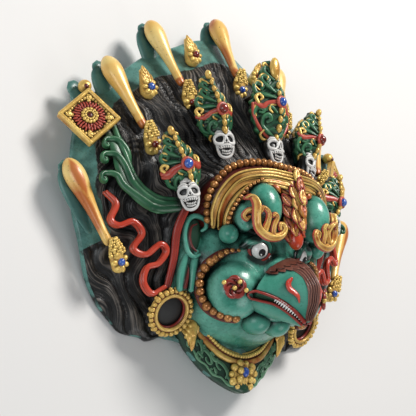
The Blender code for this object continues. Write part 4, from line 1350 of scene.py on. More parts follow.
def make_ears():
    shells, bowls, lines, strands = [], [], [], []
    for side in (1, -1):
        def drawn(path, radii, steps=6, fineness=4):
            return rod(spots(path, side), radii, steps, fineness)

        shells.append(drawn(EAR_PATH, (0.7, 1, 1.25, 1.3, 1.35, 1.35, 1.35, 1.3, 1.25, 1.1, 0.7), 8))
        shells.append(drawn(((45, -42.5, 24.4), (46.6, -48, 22.6), (47.6, -53, 21.6), (47.8, -59, 20.6)),
                            (1.6, 2, 2.1, 1.7)))
        shells.append(drawn(((41.4, -42, 26.4), (42.2, -48, 25.4), (42.6, -53.6, 24.4), (43, -59.5, 23.2)),
                            (1.8, 2.2, 2, 1.5)))
        facing = turned_to((side * 0.55, -0.1, 0.83), (1, 0.1 * side, 0))
        bowls.append(ball(spot((43.2, -34.4, 26.4), side), (4.2, 9.4, 2.4), 28, 18, facing))
        lobe = ((44, -46, 23.4), (45.2, -52, 22.6), (45.8, -58.6, 21.4))
        bowls.append(drawn(lobe, (0.8, 1.6, 1.6), 6, 3))
        slit = ((42.4, -28.9, 29.6), (44.5, -30.3, 28.2), (45.3, -34.9, 27.2), (44.4, -39.5, 27.2),
                (42.6, -42, 28.2))
        lines.append(drawn(slit, (0.4, 0.7, 0.85, 0.75, 0.4), 6, 2))
        low_slit = ((44.9, -49.6, 24.6), (45.5, -53.6, 24), (46.3, -58.8, 22.8))
        lines.append(drawn(low_slit, (0.3, 0.8, 0.9), 6, 2))
        for offset in (-1.25, 0, 1.25):
            path = [(x + offset, y, z) for x, y, z in STRAND_PATH]
            strands.append(drawn(path, (0.95, 1, 0.9, 0.7), 8, 2))
    piece(shells, "ears", "teal")
    piece(bowls, "ear_bowls", "panel")
    piece(lines, "ear_slits", "brown_red")
    piece(strands, "ear_strands", "red_deep")


def make_earrings():
    rings, beads, lines, backs = [], [], [], []
    place, normal = EARRING
    for side in (1, -1):
        centre = spot(place, side)
        turn = turned_to((side * normal[0], *normal[1:]))
        at = placer(centre, turn)

        def around(reach, lift, count):
            return [at(reach * cos(a), reach * 1.04 * sin(a), lift) for a in turns(count)]

        def ring(reach, lift, radius, fineness):
            return rod(around(reach, lift, 48), [radius] * 48, fineness=fineness, cyclic=True)

        rings.append(ring(8.3, 0.7, 0.95, 3))
        lines.append(ring(9.1, 0.1, 0.8, 2))
        lines.append(ring(8, -1.2, 1.1, 2))
        rings.append(ring(9.8, -1.1, 1.2, 2))
        for k, bead in enumerate(around(10.4, 0.3, 26)):
            beads.append(sized(bead, 1 + 0.14 * sin(k * 2.4)))
        for k, bead in enumerate(around(11.2, -0.6, 26)):
            if k % 3:
                beads.append(sized(bead, 0.75))
        backs.append(ball(at(0, 0, -2.6), (7.9, 8.3, 1.6), 28, 16, turn))
    piece(backs, "earring_backs", "pupil")
    piece(rings, "earring_rings", "band")
    piece(lines, "earring_lines", "red_deep")
    piece(grains(beads, 1.35, 14, 10), "earring_beads", "gold")


def make_ribbons():
    ribbons = []
    between_ends = len(RIBBON_PATH) - 2
    for side in (1, -1):
        path = spots(RIBBON_PATH, side)
        ribbons.append(rod(path, [0.9] + [1.4] * between_ends + [1.2], 8, outline=oval(0.9, 18, 2, 0.14)))
        seat = [place - UP * 0.002 for place in path]
        ribbons.append(rod(seat, [0.9] + [1.15] * between_ends + [1], 6, 3))
    piece(ribbons, "ribbons", "ribbon")


def make_scarves():
    """Three bands that run side by side from the crown, each peeling off outwards into a curl."""
    bands = []
    curls = ((82.6, 8.8, 15.2), (84.4, 0.8, 15.8), (86, -9.6, 16.6))
    curl = (
        (0.5, -0.2, 0.7), (0.2, -1.1, 0.9), (1.3, -1.5, 1), (2.3, -0.5, 1.1), (2.2, 1, 1.2), (1, 2.2, 1.3),
        (-0.8, 2.5, 1.4), (-3.2, 2.7, 1.5), (-6, 1.4, 1.7), (-9, -3.4, 1.9),
    )
    top = ((78.6, 18.5, 15), (77.5, 13, 16), (75.5, 7, 17), (73.8, 1, 18), (72, -5, 19))
    for side in (1, -1):
        middle = through(spots(SCARF_PATH, side), 4)
        count = len(middle)
        for lane, (cx, cy, cz) in zip((1, 0, -1), curls):
            path = [spot((cx + x, cy + y, cz + 0.28 * max(0, -x)), side) for x, y, _ in curl]
            radii = [radius for _, _, radius in curl]
            for i, place in enumerate(middle):
                share = i / (count - 1)
                if place.y > (cy - 9) * MM:
                    continue
                after, before = middle[min(i + 1, count - 1)], middle[max(i - 1, 0)]
                across = (after - before).cross(UP).normalized() * side
                spread = 2.9 * sin(pi * (0.2 + 0.62 * share))
                path.append(place + across * lane * spread * MM - UP * abs(lane) * 0.0006)
                radii.append(2.1 * (0.66 + 0.46 * sin(pi * (0.12 + 0.7 * share))))
            bands.append(rod(path, radii, 3, 3, outline=oval(1, 12, 3, 0.14)))
            bands.append(ball(spot((cx, cy, cz - 1.6), side), (2.4, 2.4, 1.6), 20, 12))
        bed = [place - UP * 0.0012 for place in middle]
        widths = [2.6, 4.4] + [5] * (count - 6) + [4.4, 3.8, 3.2, 2.4]
        bands.append(rod(bed, widths, 1, 3, outline=oval(0.34, 20)))
        bands.append(rod(spots(top, side), (1.2, 1.5, 1.6, 1.6, 1.3), 5, 3))
    piece(bands, "scarves", "scarf")


# Clubs, flowers and plaques ------------


def club_shade_and_stain(turn, along, lowest):
    """Where a club turns orange, by which way its skin faces and the share of the way along it: painted shade
    along one side and at the inner end, and on the lowest clubs orange staining in a streak near the tip as
    well.
    """
    if lowest:
        upper = np.exp(-(((along - 0.26) / 0.24) ** 2)) * (1 - np.clip(np.abs(turn + 0.35) * 1.5, 0, 1))
        lower = 0.85 * np.exp(-(((along - 0.6) / 0.3) ** 2)) * np.clip(0.35 - 0.8 * turn, 0, 1)
        return np.maximum(upper, lower)
    shade_and_stain = np.clip(0.3 + 0.6 * turn, 0, 1) * (0.8 + 0.2 * np.cos(9 * along))
    return np.maximum(shade_and_stain, 0.8 * (along > 0.95))


def make_clubs():
    clean, shaded_and_stained_clubs = [], []
    for k, (tip, end) in enumerate(CLUBS):
        for side in sides(tip):
            start = spot(tip, side)
            axis = spot(end, side) - start
            length = axis.length
            model = turned([(share * length, radius * MM) for share, radius in CLUB_PROFILE], 32)
            applied(model, "SUBSURF", levels=1, render_levels=1)
            x, y, z = coordinates(model).T
            turn = side * x / np.maximum(np.hypot(x, y), 1e-6)
            # Marks the orange painted shade and staining on each club.
            marked(model, "shade_and_stain", club_shade_and_stain(turn, z / length, k == 0))
            model.matrix_world = placed(start, axis, axis.cross(UP), (1, 0.88, 1))
            (clean if k else shaded_and_stained_clubs).append(settled(model))
    piece(clean, "clubs", "gilt")
    piece(shaded_and_stained_clubs, "side_clubs", "gilt_shaded_and_stained")


def club_flower(place, turn):
    """A filigree knob that widens from the end of a club, then a ring of petals, and where its stone sits."""
    at = placer(place, turn)
    buds = []
    for row in range(7):
        wide, count = 1.6 + 0.42 * row, 4 + row // 2
        for k in range(count):
            share = k / (count - 1) * 2 - 1
            x = wide * share + 0.35 * sin(row * 2.1 + k * 1.7)
            size = 0.62 + 0.18 * sin(row * 1.3 + k * 2.9)
            buds.append(sized(at(x, 8.2 - 1.15 * row, 1.7 - 1.1 * share * share), size))
    for k, spin in enumerate(turns(7, 0.3)):
        size = 1.0 + 0.12 * sin(k * 2.6)
        middle = at(3.2 * cos(spin), -2.8 + 3.2 * sin(spin), 0.7)
        buds.append(laid(middle, turn, (1.35 * size, size, 0.95), spin))
    return buds, at(0, -2.8, 1.9)


def make_flowers():
    buds, seats, scales = [], [], []
    stones = {"blue": [], "red": []}
    knobs = ((77.6, -45.2, 12.6), (62.9, 12.5, 24), (36, 41.5, 24), (0, 57, 26.5))
    for (tip, end), place, stone in zip(CLUBS, knobs, ("blue", "red", "red", "blue")):
        for side in sides(place):
            centre = spot(place, side)
            axis = spot(tip, side) - spot(end, side)
            turn = turned_to(UP * 0.9 - Vector((0, 0.2, 0)), axis.cross(UP))
            if turn.to_3x3() @ Vector((0, 1, 0)) @ axis < 0:
                turn = turn @ Matrix.Rotation(pi, 4, "Z")
            found, gem = club_flower(centre, turn)
            buds += found
            stones[stone].append(laid(gem, turn, (1.6, 1.6, 1.6)))
            at = placer(centre, turn)
            upper, lower = at(0, 7.5, -0.6), at(0, -5, -1.6)
            seats.append(rod([upper, upper.lerp(lower, 0.5), lower], (1.7, 3.2, 3.2), 5, 3))
    for place, stone in (((57.3, 45.6, 16.5), "blue"), ((24.8, 73, 16.5), "red")):
        for side in (1, -1):
            centre = spot(place, side)
            out = Vector((side * 0.35, 0.93, 0)).normalized()
            across = out.cross(UP)
            for reach, wide, size in (
                (7.6, 0, 1), (5.6, 1.3, 1), (5.6, -1.3, 1), (3.8, 0, 1.1), (2.6, 2.6, 1.1), (2.6, -2.6, 1.1),
            ):
                spread = (out + across * wide * 0.16).normalized()
                away = out * reach + across * wide * 0.8 + UP * (1.4 - 0.1 * reach)
                scales.append(placed(centre + away * MM, UP + out * 0.25, spread.cross(UP), size))
            for angle in turns(8, 0.2):
                way = out * cos(angle) + across * sin(angle)
                root = centre + way * 3.3 * MM + (out * -1.8 + UP * 1.3) * MM
                buds.append(placed(root, UP, way, (1.3, 1, 0.95)))
            stones[stone].append(sized(centre + (out * -1.8 + UP * 2.4) * MM, 1.75))
            low = centre - UP * 0.0016
            path = [centre + out * 0.0075 - UP * 0.001, low, centre - out * 0.0035 - UP * 0.0016]
            seats.append(rod(path, (1.4, 3.2, 4.2), 6, 3))
    scale = petal(1.5, 2.6, 1.2)
    piece([grains(buds, 1.35, 10, 7), copies(scale, scales)], "flower_buds", "gold")
    piece(seats, "flower_seats", "brow")
    piece(grains(stones["blue"], (1.15, 1.15, 0.9), 18, 12), "blue_stones", "blue")
    piece(grains(stones["red"], (1.1, 1.1, 0.9), 18, 12), "red_stones", "ruby")


def plaque_tile(place, width):
    """A square tile with a raised border, its edges softened, set at its place."""
    clear()
    bpy.ops.mesh.primitive_cube_add(size=1)
    tile = bpy.context.object
    tile.scale = (width * MM, width * MM, 3 * MM)
    settled(tile)
    only(tile)
    bpy.ops.object.mode_set(mode="EDIT")
    bpy.ops.mesh.select_all(action="DESELECT")
    bpy.ops.object.mode_set(mode="OBJECT")
    for face in tile.data.polygons:
        face.select = face.normal.z > 0.9
    bpy.ops.object.mode_set(mode="EDIT")
    bpy.ops.mesh.select_mode(type="FACE")
    bpy.ops.mesh.inset(thickness=1.9 * MM, depth=0)
    bpy.ops.mesh.inset(thickness=0.5 * MM, depth=-0.9 * MM)
    bpy.ops.object.mode_set(mode="OBJECT")
    applied(tile, "BEVEL", width=0.7 * MM, segments=3, limit_method="ANGLE")
    tile.matrix_world = place
    return settled(tile)


def make_plates():
    tiles, frames, petals, discs, dots = [], [], [], [], []
    middle, normal, edge, width = PLATE
    corner = width / 2 - 0.9
    for side in (1, -1):
        centre = spot(middle, side)
        turn = turned_to((side * normal[0], *normal[1:]), (side * edge[0], *edge[1:]))
        on = placer(centre, turn)
        tiles.append(plaque_tile(Matrix.Translation(on(0, 0, -1.7)) @ turn, width))
        corners = [(corner * x, corner * y) for x, y in ((1, 1), (-1, 1), (-1, -1), (1, -1))]
        for (ax, ay), (bx, by) in zip(corners, corners[1:] + corners[:1]):
            line = []
            for t in range(9):
                wave = 0.15 + 0.12 * sin(t * 2.1 + ax)
                line.append(on(ax + (bx - ax) * t / 8, ay + (by - ay) * t / 8, wave))
            frames.append(rod(line, 1.15, 1, 3))
        for cx, cy in ((1, 1), (1, -1), (-1, 1), (-1, -1)):
            for x, y, size in (
                (6.9, 6.9, 1.5), (8, 5.2, 1), (5.2, 8, 1), (8.3, 3.4, 0.85), (3.4, 8.3, 0.85),
                (8.5, 1.8, 0.7), (1.8, 8.5, 0.7), (5.9, 5.9, 1.1),
            ):
                frames.append(ball(on(cx * x, cy * y, -0.3), (size, size, size * 0.9), 10, 8))
            curl = ((8.3, 7.4), (7, 7.9), (6, 6.8), (7, 5.9), (7.8, 6.6))
            frames.append(rod([on(cx * x, cy * y, 0.4) for x, y in curl], 0.55, 3, 2))
        for ring, (reach, count, lift, size) in enumerate(((6.6, 30, -0.1, 0.9), (5.2, 24, 0.3, 0.85))):
            for k in range(count):
                a = 2 * pi * (k + 0.5 * ring) / count
                far = reach + 0.3 * sin(k * 2.7)
                place = on(far * cos(a), far * sin(a), lift)
                shape = (size * 1.6, size * 0.62, size)
                petals.append(laid(place, turn, shape, a + 0.25 * sin(k * 1.9)))
        for a in turns(13):
            discs.append(sized(on(3.3 * cos(a), 3.3 * sin(a), 1), 0.95))
            discs.append(sized(on(2.1 * cos(a), 2.1 * sin(a), 1.4), 0.6))
        discs.append(laid(on(0, 0, 0.4), turn, (3.6, 3.6, 0.9)))
        frames.append(ball(spot((90.6, 38.6, 9), side), 3.3, 28, 18))
        dots.append(ball(spot((91.4, 37.6, 11.6), side), (1.3, 1.3, 0.9), 14, 10))
        dots.append(ball(on(0, 0, 1.2), (1.3, 1.3, 0.5), 14, 10, turn))
    piece(tiles, "plaques", "rim", flat=True)
    piece(frames, "plaque_frames", "gold")
    piece(grains(petals, (1, 1, 0.8), 10, 8), "plaque_petals", "red")
    piece(grains(discs, 1, 12, 8), "plaque_discs", "gold")
    piece(dots, "plaque_dots", "brown_red")


# Crown leaves and skulls ------------


class LeafFrame:
    """Places on one crown leaf, in millimetres along it from the foot, across it and off its skin."""

    def __init__(self, foot, tip, half_width, tilt, side):
        self.start, stop = spot(foot, side), spot(tip, side)
        self.long = (stop - self.start).length / MM
        self.along = (stop - self.start).normalized()
        turn = Matrix.Rotation(radians(side * tilt), 3, self.along)
        self.across = turn @ self.along.cross(UP)
        self.up = self.across.cross(self.along).normalized()
        self.half = half_width

    def width(self, along):
        return float(ease(LEAF_OUTLINE, np.array(along / self.long))) * self.half

    def at(self, along, across, lift=0.0):
        wide = self.width(along)
        roof = LEAF_RIDGE * (0.25 + 0.75 * wide / self.half) * max(-0.1, 1 - abs(across) / wide)
        return self.start + (self.along * along + self.across * across + self.up * (roof + lift)) * MM

    def body(self):
        """The leaf as a thin carved plate, and the dark prop that carries it on its right, black as hair and
        as painted shadow under the leaf.
        """
        sections, props = [], []
        for i in range(31):
            along = self.long * i / 30
            reach = self.width(along) * (0.9 + 0.07 * cos(i * 1.7))
            top = [self.at(along, reach * (-1 + j / 7), -1.4) for j in range(15)]
            base = self.start + self.along * along * MM
            edge = self.across * reach * MM
            drop = self.up * MM
            sections.append(top + [base + edge * 0.9 - drop * 3.4, base - edge * 0.9 - drop * 3.4])
            if 2 < i < 22:
                right = edge if edge.x > 0 else -edge
                sink = UP * (11 + 0.35 * along) * MM
                props.append([base + right * 0.84 - drop * 2.2, base + right * 0.84 - sink,
                              base + right * 0.34 - sink, base + right * 0.1 - drop * 2.2])
        return lofted(sections), lofted(props)

    def face(self):
        """The leaf's skin, worked all over in small curling ridges."""
        def carved(across, down, top):
            along = self.long * (0.01 + 0.97 * down)
            reach = self.width(along) * (0.95 + 0.05 * cos(along * 1.3))
            at = (across - 0.5) * 2 * reach
            swirl = 1.25 * along + 1.9 * sin(abs(at) * 0.75 + 0.35 * along) + 0.8 * abs(at)
            return self.at(along, at, (-0.5 + 1.25 * abs(sin(swirl)) ** 0.7) if top else -2.2)

        return patch(36, 62, carved)


# Scrolls on the right half of a leaf 32 long and 22 wide, and the gilded ends of some of them.
LEAF_SIZE = (32, 11)
LEAF_SCROLLS = (
    ((1.6, 1.4), (3, 4.2), (5.4, 6.4), (8, 6.4), (8.8, 4.6), (7.4, 3.6), (6.4, 4.6)),
    ((4, 6), (6, 9), (9.4, 10.2), (11.6, 8.8), (11.2, 6.8), (9.8, 6.9), (9.8, 8)),
    ((10.2, 1.6), (11.8, 3.2), (12.4, 5.2), (10.8, 5.6)),
    ((15.8, 2), (16.6, 5), (17.2, 8.4), (19.6, 9.2), (21.4, 7.8), (20.4, 6), (18.9, 6.6)),
    ((18.2, 1.6), (19.8, 3.4), (21.6, 5.2), (23.8, 5.4), (24.6, 3.8), (23.2, 2.9), (22, 3.6)),
    ((23.4, 1.2), (25, 2.6), (26.8, 3.8), (28.4, 3.2), (28, 2), (26.8, 2)),
)
LEAF_GILDED = (
    ((0.4, 2.4), (0.2, 4.6), (1.8, 6.2), (3.4, 5.6), (3, 4.4)),
    ((12.8, 2.4), (12.6, 4.2), (11, 4.6), (9.8, 3.6)),
    ((8.2, 9.6), (10.4, 10.6), (12.6, 9.6), (12.4, 7.8), (11, 7.6)),
    ((18.4, 7.6), (20, 9.4), (22, 8.2), (21.4, 6.6), (20, 6.6)),
    ((22, 5.4), (24.2, 6), (25.6, 4.4), (24.4, 3.2), (23.2, 3.8)),
    ((27.4, 1.4), (29, 2.4), (30.2, 3.4), (29.4, 4.4), (28.4, 3.6)),
)


def make_leaves():
    kinds = "bodies props faces scrolls tips arms spines blues reds rings"
    made = {kind: [] for kind in kinds.split()}
    crown_leaf, red_leaf, low_leaf = range(3)
    for k, (foot, tip, half, tilt) in enumerate(LEAVES):
        for side in sides(tip):
            leaf = LeafFrame(foot, tip, half, tilt, side)
            gem_at = GEM_AT * leaf.long
            body, prop = leaf.body()
            made["bodies"].append(body)
            made["props"].append(prop)
            made["faces"].append(leaf.face())
            for i in range(10):
                along = leaf.long * (0.03 + 0.94 * i / 9)
                if abs(along - gem_at) < 2.6:
                    continue
                size = 1.5 - 0.4 * along / leaf.long + 0.12 * sin(i * 2.2)
                turn = turned_to(leaf.up, leaf.across)
                made["spines"].append(laid(leaf.at(along, 0, 0.9), turn, (size * 0.9, size * 1.5, size)))
            point, crown = (0.88, (3.3, 6.2, 2.2)) if k == crown_leaf else (0.99, (1.6, 2.4, 1.7))
            made["spines"].append(placed(leaf.at(leaf.long * point, 0, 0.8), leaf.up, leaf.across, crown))
            gem = leaf.at(gem_at, 0, 1.4)
            stone = placed(gem + leaf.up * 0.8 * MM, leaf.up, leaf.across)
            made["reds" if k == red_leaf else "blues"].append(stone)
            away = [leaf.across * cos(a) + leaf.along * sin(a) for a in turns(28)]
            circle = [gem + each * 2.6 * MM for each in away]
            made["rings"].append(rod(circle, [0.9] * 28, fineness=3, cyclic=True))
            tall, wide = leaf.long / LEAF_SIZE[0], half / LEAF_SIZE[1]
            flare = 0.85 if k == crown_leaf else 1.0
            big = 1.4 if k == low_leaf else 1.0
            end = gem_at / tall
            arm = ((end, 2), (end - 0.8, 5.4), (end - 2.2, 8.6 * flare), (end - 1.2, 11.6 * flare))
            arm_tip = ((end - 1, 11 * flare), (end + 1.2, 11.8 * flare), (end + 2.4, 10 * flare),
                       (end + 1.2, 8.8 * flare), (end + 0.2, 9.8 * flare))
            for way in (-1, 1):
                def drawn(kind, points, lift, radii, steps=4, outline=None):
                    path = [leaf.at(a * tall, way * b * wide, lift) for a, b in points]
                    made[kind].append(rod(path, radii, steps, 3, outline=outline))

                for path in LEAF_SCROLLS:
                    radii = [0.9] + [1.6] * (len(path) - 3) + [1.3, 1]
                    drawn("scrolls", path, 0.9, radii, 4, oval(0.8, 9, 3, 0.2))
                for path in LEAF_GILDED:
                    drawn("tips", path, 1.5, [0.4] + [0.72] * (len(path) - 2) + [0.5])
                drawn("arms", arm, 1.7, (1.1, 1.2 * big, 1.5 * big, 1.2 * big), 5, oval(0.85, 11, 2, 0.2))
                if k == low_leaf:
                    spur = ((end - 1.4, 7), (end - 3.4, 9.6), (end - 3, 12))
                    drawn("arms", spur, 1.5, (0.9, 1.4, 1))
                drawn("tips", arm_tip, 2.1, (1, 0.95, 0.9, 0.8, 0.6))
                if k == crown_leaf:
                    hem = ((end - 1.4, 11), (end - 6, 10.4), (end - 10, 7.4), (end - 13, 3),
                           (end - 14.5, 0.6))
                    drawn("arms", hem, 1.4, (0.9, 0.95, 0.95, 0.9, 0.7))
    piece(made["bodies"], "leaf_bodies", "leaf_side", flat=True)
    # Painted shadow: black props under the leaves, black as the hair too.
    piece(made["props"], "leaf_props", "black")
    piece(made["faces"], "leaf_faces", "green")
    piece(made["scrolls"], "leaf_scrolls", "green")
    piece(made["tips"], "leaf_scroll_tips", "gold")
    piece(made["arms"] + made["rings"], "leaf_arms", "red")
    piece(grains(made["spines"], 1, 14, 10), "leaf_spines", "gold")
    piece(grains(made["blues"], (2.3, 2.3, 1.9), 24, 16), "leaf_blue_stones", "blue")
    piece(grains(made["reds"], (2.4, 2.4, 2), 24, 16), "leaf_red_stones", "ruby")


def make_skulls():
    """Skulls of white ridges over black hollows, facing up with their crowns to +Y."""
    def at(x, y, lift=0.0):
        return Vector((x, y, 4.6 * sqrt(max(0.04, 1 - (x / 5.9) ** 2 - (y / 8.8) ** 2)) + lift)) * MM

    def ridge(points, radii, lift=0.4):
        return rod([at(x, y, lift) for x, y in points], radii, 4, 2)

    jaw = ((-4.5, -1.4), (-4, -4.2), (-2.6, -6.9), (0, -7.9), (2.6, -6.9), (4, -4.2), (4.5, -1.4))
    lip = ((-2.9, -2.5), (-1.4, -2.1), (0, -2), (1.4, -2.1), (2.9, -2.5))
    parts = [
        ridge(jaw, (0.6, 0.75, 0.9, 1, 0.9, 0.75, 0.6)), ridge(lip, (0.5, 0.6, 0.6, 0.6, 0.5), 0.7),
        ridge(((-2, -5.9), (0, -6.3), (2, -5.9)), (0.4, 0.5, 0.4), 0.5),
        ball(at(0, 6.6, -1.6), (3, 2.2, 2.4), 20, 14),
    ]
    for x in (0.55, 1.6, 2.6):
        for side in (1, -1):
            parts.append(ball(at(side * x, -3.0 - 0.05 * x * x, 0.8), (0.5, 0.8, 0.6), 10, 8))
            parts.append(ball(at(side * x * 0.82, -5.3 + 0.08 * x * x, 0.7), (0.42, 0.65, 0.55), 10, 8))
    for side in (1, -1):
        for points, radii, lift in (
            (((0.4, 2.4), (1.6, 3.4), (3.4, 3.4), (4.9, 2.2), (5.2, 0.6)), (0.6, 0.95, 1, 0.85, 0.5), 0.7),
            (((5.2, 0.8), (4.7, -0.9), (3.4, -1.5), (1.9, -1.2), (1.1, 0.1), (0.8, 1.8)),
             (0.6, 0.95, 0.95, 0.7, 0.5, 0.4), 0.6),
            (((0.2, 2.6), (0.4, 1.1), (0.9, -0.2), (0.4, -1)), (0.5, 0.5, 0.4, 0.3), 0.9),
            (((4.6, -1.2), (3.8, -2.6), (3, -3.4)), (0.6, 0.5, 0.4), 0.4),
            (((0.5, 4.1), (1.8, 4.9), (3.4, 4.7), (4.6, 3.7)), (0.5, 0.85, 0.8, 0.5), 0.5),
            (((0.6, 6), (1.7, 6.3), (3, 5.8)), (0.6, 0.9, 0.5), 0.4),
        ):
            parts.append(ridge([(side * x, y) for x, y in points], radii, lift))
    places = []
    for x, y, z in SKULLS:
        for side in sides((x, y, z)):
            normal = Vector((side * 0.012 * x, 0.05 - 0.004 * x, 1))
            across = Vector((1, side * -0.004 * x, 0))
            places.append(placed(spot((x, y, z + 1.4), side), normal, across, 1.0 if x < 40 else 0.94))
    piece(copies(joined(parts), places), "skulls", "bone")
    piece(grains(places, (5.6, 8.3, 4.4), 28, 20), "skull_hollows", "black")


# Collar ------------


def collar_reliefs(panel_spot):
    """The scrolls on one side of the collar's panel."""
    reliefs = []
    for centre, deep, size, spin, start in (
        (0.27, 0.62, 0.085, 1, 2.6), (0.42, 0.68, 0.08, -1, 0.6), (0.56, 0.62, 0.075, 1, 2.2),
        (0.67, 0.7, 0.06, -1, 1.2), (0.35, 0.42, 0.05, -1, 3.4), (0.49, 0.42, 0.05, 1, 5),
        (0.2, 0.82, 0.045, 1, 1), (0.35, 0.86, 0.04, -1, 2), (0.5, 0.86, 0.04, 1, 4),
    ):
        path = []
        for j in range(13):
            angle = spin * (start + 5.2 * j / 12)
            reach = 1 - 0.75 * j / 12
            along = centre + size * reach * cos(angle)
            path.append(panel_spot(along, deep + 2.6 * size * reach * sin(angle), 0.35))
        widths = [0.7, 1.0] + [1.05 - 0.05 * j for j in range(11)]
        reliefs.append(rod(path, widths, 2, 2, outline=oval(0.7, 8, 2, 0.3)))
    wave = [panel_spot(0.14 + 0.58 * j / 14, 0.93 + 0.04 * sin(j * 1.6), 0.35) for j in range(15)]
    return reliefs + [rod(wave, 0.55, 3, 2)]


def collar_flames(panel_spot):
    """The gold flames and grains at one end of the collar's panel."""
    flames = []
    for root, height, end, tall, thick in (
        (0.97, 0.3, 0.82, 0.46, 1.5), (0.96, 0.46, 0.72, 0.6, 1.8), (0.93, 0.62, 0.66, 0.76, 1.9),
        (0.9, 0.8, 0.7, 0.92, 1.6), (0.84, 0.36, 0.7, 0.42, 1.3), (0.8, 0.74, 0.62, 0.94, 1.3),
    ):
        path = [panel_spot(root, height, 0.8), panel_spot(root * 0.6 + end * 0.4, height + 0.02, 2.2),
                panel_spot(end + 0.01, tall, 1.8), panel_spot(end - 0.015, tall + 0.08, 1.6)]
        flames.append(rod(path, (thick * 1.3, thick * 1.5, 1.3, 0.4), 4, outline=oval(0.8, 11, 3, 0.25)))
    for j in range(20):
        grain = panel_spot(0.97 - 0.05 * (j % 4), 0.24 + 0.036 * j, 1.3)
        flames.append(ball(grain, 0.95 + 0.25 * sin(j), 10, 8))
    return flames


def make_collar():
    middle = COLLAR_MIDDLE
    inner, outer = through(whole(COLLAR_INNER), 10), through(whole(COLLAR_OUTER), 10)

    def dome(share):
        return 1.2 * sin(pi * share) - 0.4 + 0.8 * share

    rows = []
    for k in range(9):
        rows.append([a.lerp(b, k / 8) + UP * dome(k / 8) * MM for a, b in zip(inner, outer)])
    piece(slab(rows, 4 * MM), "collar_panel", "panel")
    rim = rod(whole(COLLAR_RIM), 1.5, 10, outline=oval(0.85, 20))
    thin_rim = rod(whole(shifted(COLLAR_INNER, 1.9, middle, 0.2)), 0.65, 10, 2)
    piece([rim, thin_rim], "collar_rims", "rim")
    edge = rod(whole(shifted(COLLAR_INNER, -0.4, middle, 0.1)), 1.5, 10, outline=oval(0.6, 14))
    piece(edge, "collar_line", "red_deep")
    line = through(whole(shifted(COLLAR_INNER, 0.3, middle, 1.2)), 12)
    piece(grains([sized(place) for place in paced(line, 44)], 1.15, 12, 8), "collar_beads", "gold")
    reliefs, flames = [], []
    for side in (1, -1):
        def panel_spot(along, across, lift):
            i = (len(inner) - 1) * (0.5 + side * 0.5 * along)
            low = min(int(i), len(inner) - 2)
            a = inner[low].lerp(inner[low + 1], i - low)
            b = outer[low].lerp(outer[low + 1], i - low)
            return a.lerp(b, across) + UP * (dome(across) + lift) * MM

        reliefs += collar_reliefs(panel_spot)
        flames += collar_flames(panel_spot)
    piece(reliefs, "collar_scrolls", "scroll_green")
    piece(flames, "collar_flames", "gold")


def make_collar_flower():
    """The gold rosette at the middle of the collar: two rows of petals, knobs and a stone."""
    centre = spot((0, -96.6, 10.2))
    tilt = turned_to((0, -0.2, 0.98))
    at = placer(centre, tilt)
    petals, knobs = [], []
    for reach, count, size, lift in ((5.2, 7, 1.15, 0.5), (3.2, 6, 0.85, 1.4)):
        for a in turns(count, 0.35 + lift):
            out = tilt.to_3x3() @ Vector((cos(a), sin(a), 0.12))
            normal = tilt.to_3x3() @ Vector((0.25 * cos(a), 0.25 * sin(a), 1))
            place = at(reach * cos(a), 0.85 * reach * sin(a), lift)
            petals.append(placed(place, normal, out.cross(normal), (size * 1.15, size * 0.85, size * 1.3)))
    for x, y, size in ((0, -101.8, 1.6), (4.6, -99.6, 1.35), (-4.6, -99.6, 1.35)):
        place, normal = spot((x, y, 9.8 - 0.1 * abs(x))), (0.02 * x, -0.2, 1)
        petals.append(placed(place, normal, (-1, 0.12 * x, 0), (size, size * 0.75, size)))
    for k, a in enumerate(turns(11, 0.2)):
        knobs.append(placed(at(8 * cos(a), 6.2 * sin(a), 0.4), size=1.9 + 0.4 * sin(k * 2.3)))
    for a in (0.7, 2.44, 3.6, 5.8):
        knobs.append(placed(at(4.4 * cos(a), 3.8 * sin(a), 2.1), size=1.8))
    seat = ball(spot((0, -97, 7.6)), (8.6, 7.6, 3.2), 28, 16)
    piece([copies(petal(2.2, 3, 1.3), petals), grains(knobs, 1, 12, 8), seat], "collar_flower", "gold")
    piece(ball(spot((0, -95.2, 12.8)), (2, 2.5, 1.5), 24, 16, tilt), "collar_stone", "blue")


# Stage ------------

CAMERA_TARGET = (0, 0, 0.035)
CAMERA_DISTANCE = 0.5
CAMERA_BACK = (-0.69249, -0.32252, 0.64532)
CAMERA_RIGHT = (0.7, -0.08403, 0.70918)
CAMERA_LENS = 83.1
CAMERA_SHIFT = (-0.104, -0.0587)
LIGHTS = (
    ("key", (0.3, 0.5, 0.75), 0.3, 8.5, (1, 0.97, 0.93)),
    ("side", (-0.85, -0.2, 0.5), 0.5, 2.6, (0.93, 0.97, 1)),
    ("front", (0.2, -0.8, 0.55), 0.5, 1.8, (1, 1, 1)),
)


def make_camera():
    back = Vector(CAMERA_BACK).normalized()
    up = back.cross(Vector(CAMERA_RIGHT).normalized()).normalized()
    right = up.cross(back).normalized()
    bpy.ops.object.camera_add()
    camera = bpy.context.object
    turn = Matrix((right, up, back)).transposed().to_4x4()
    camera.matrix_world = Matrix.Translation(Vector(CAMERA_TARGET) + back * CAMERA_DISTANCE) @ turn
    camera.data.sensor_width = 36
    camera.data.lens = CAMERA_LENS
    camera.data.shift_x, camera.data.shift_y = CAMERA_SHIFT
    bpy.context.scene.camera = camera
    bpy.context.scene.view_settings.view_transform = "Standard"


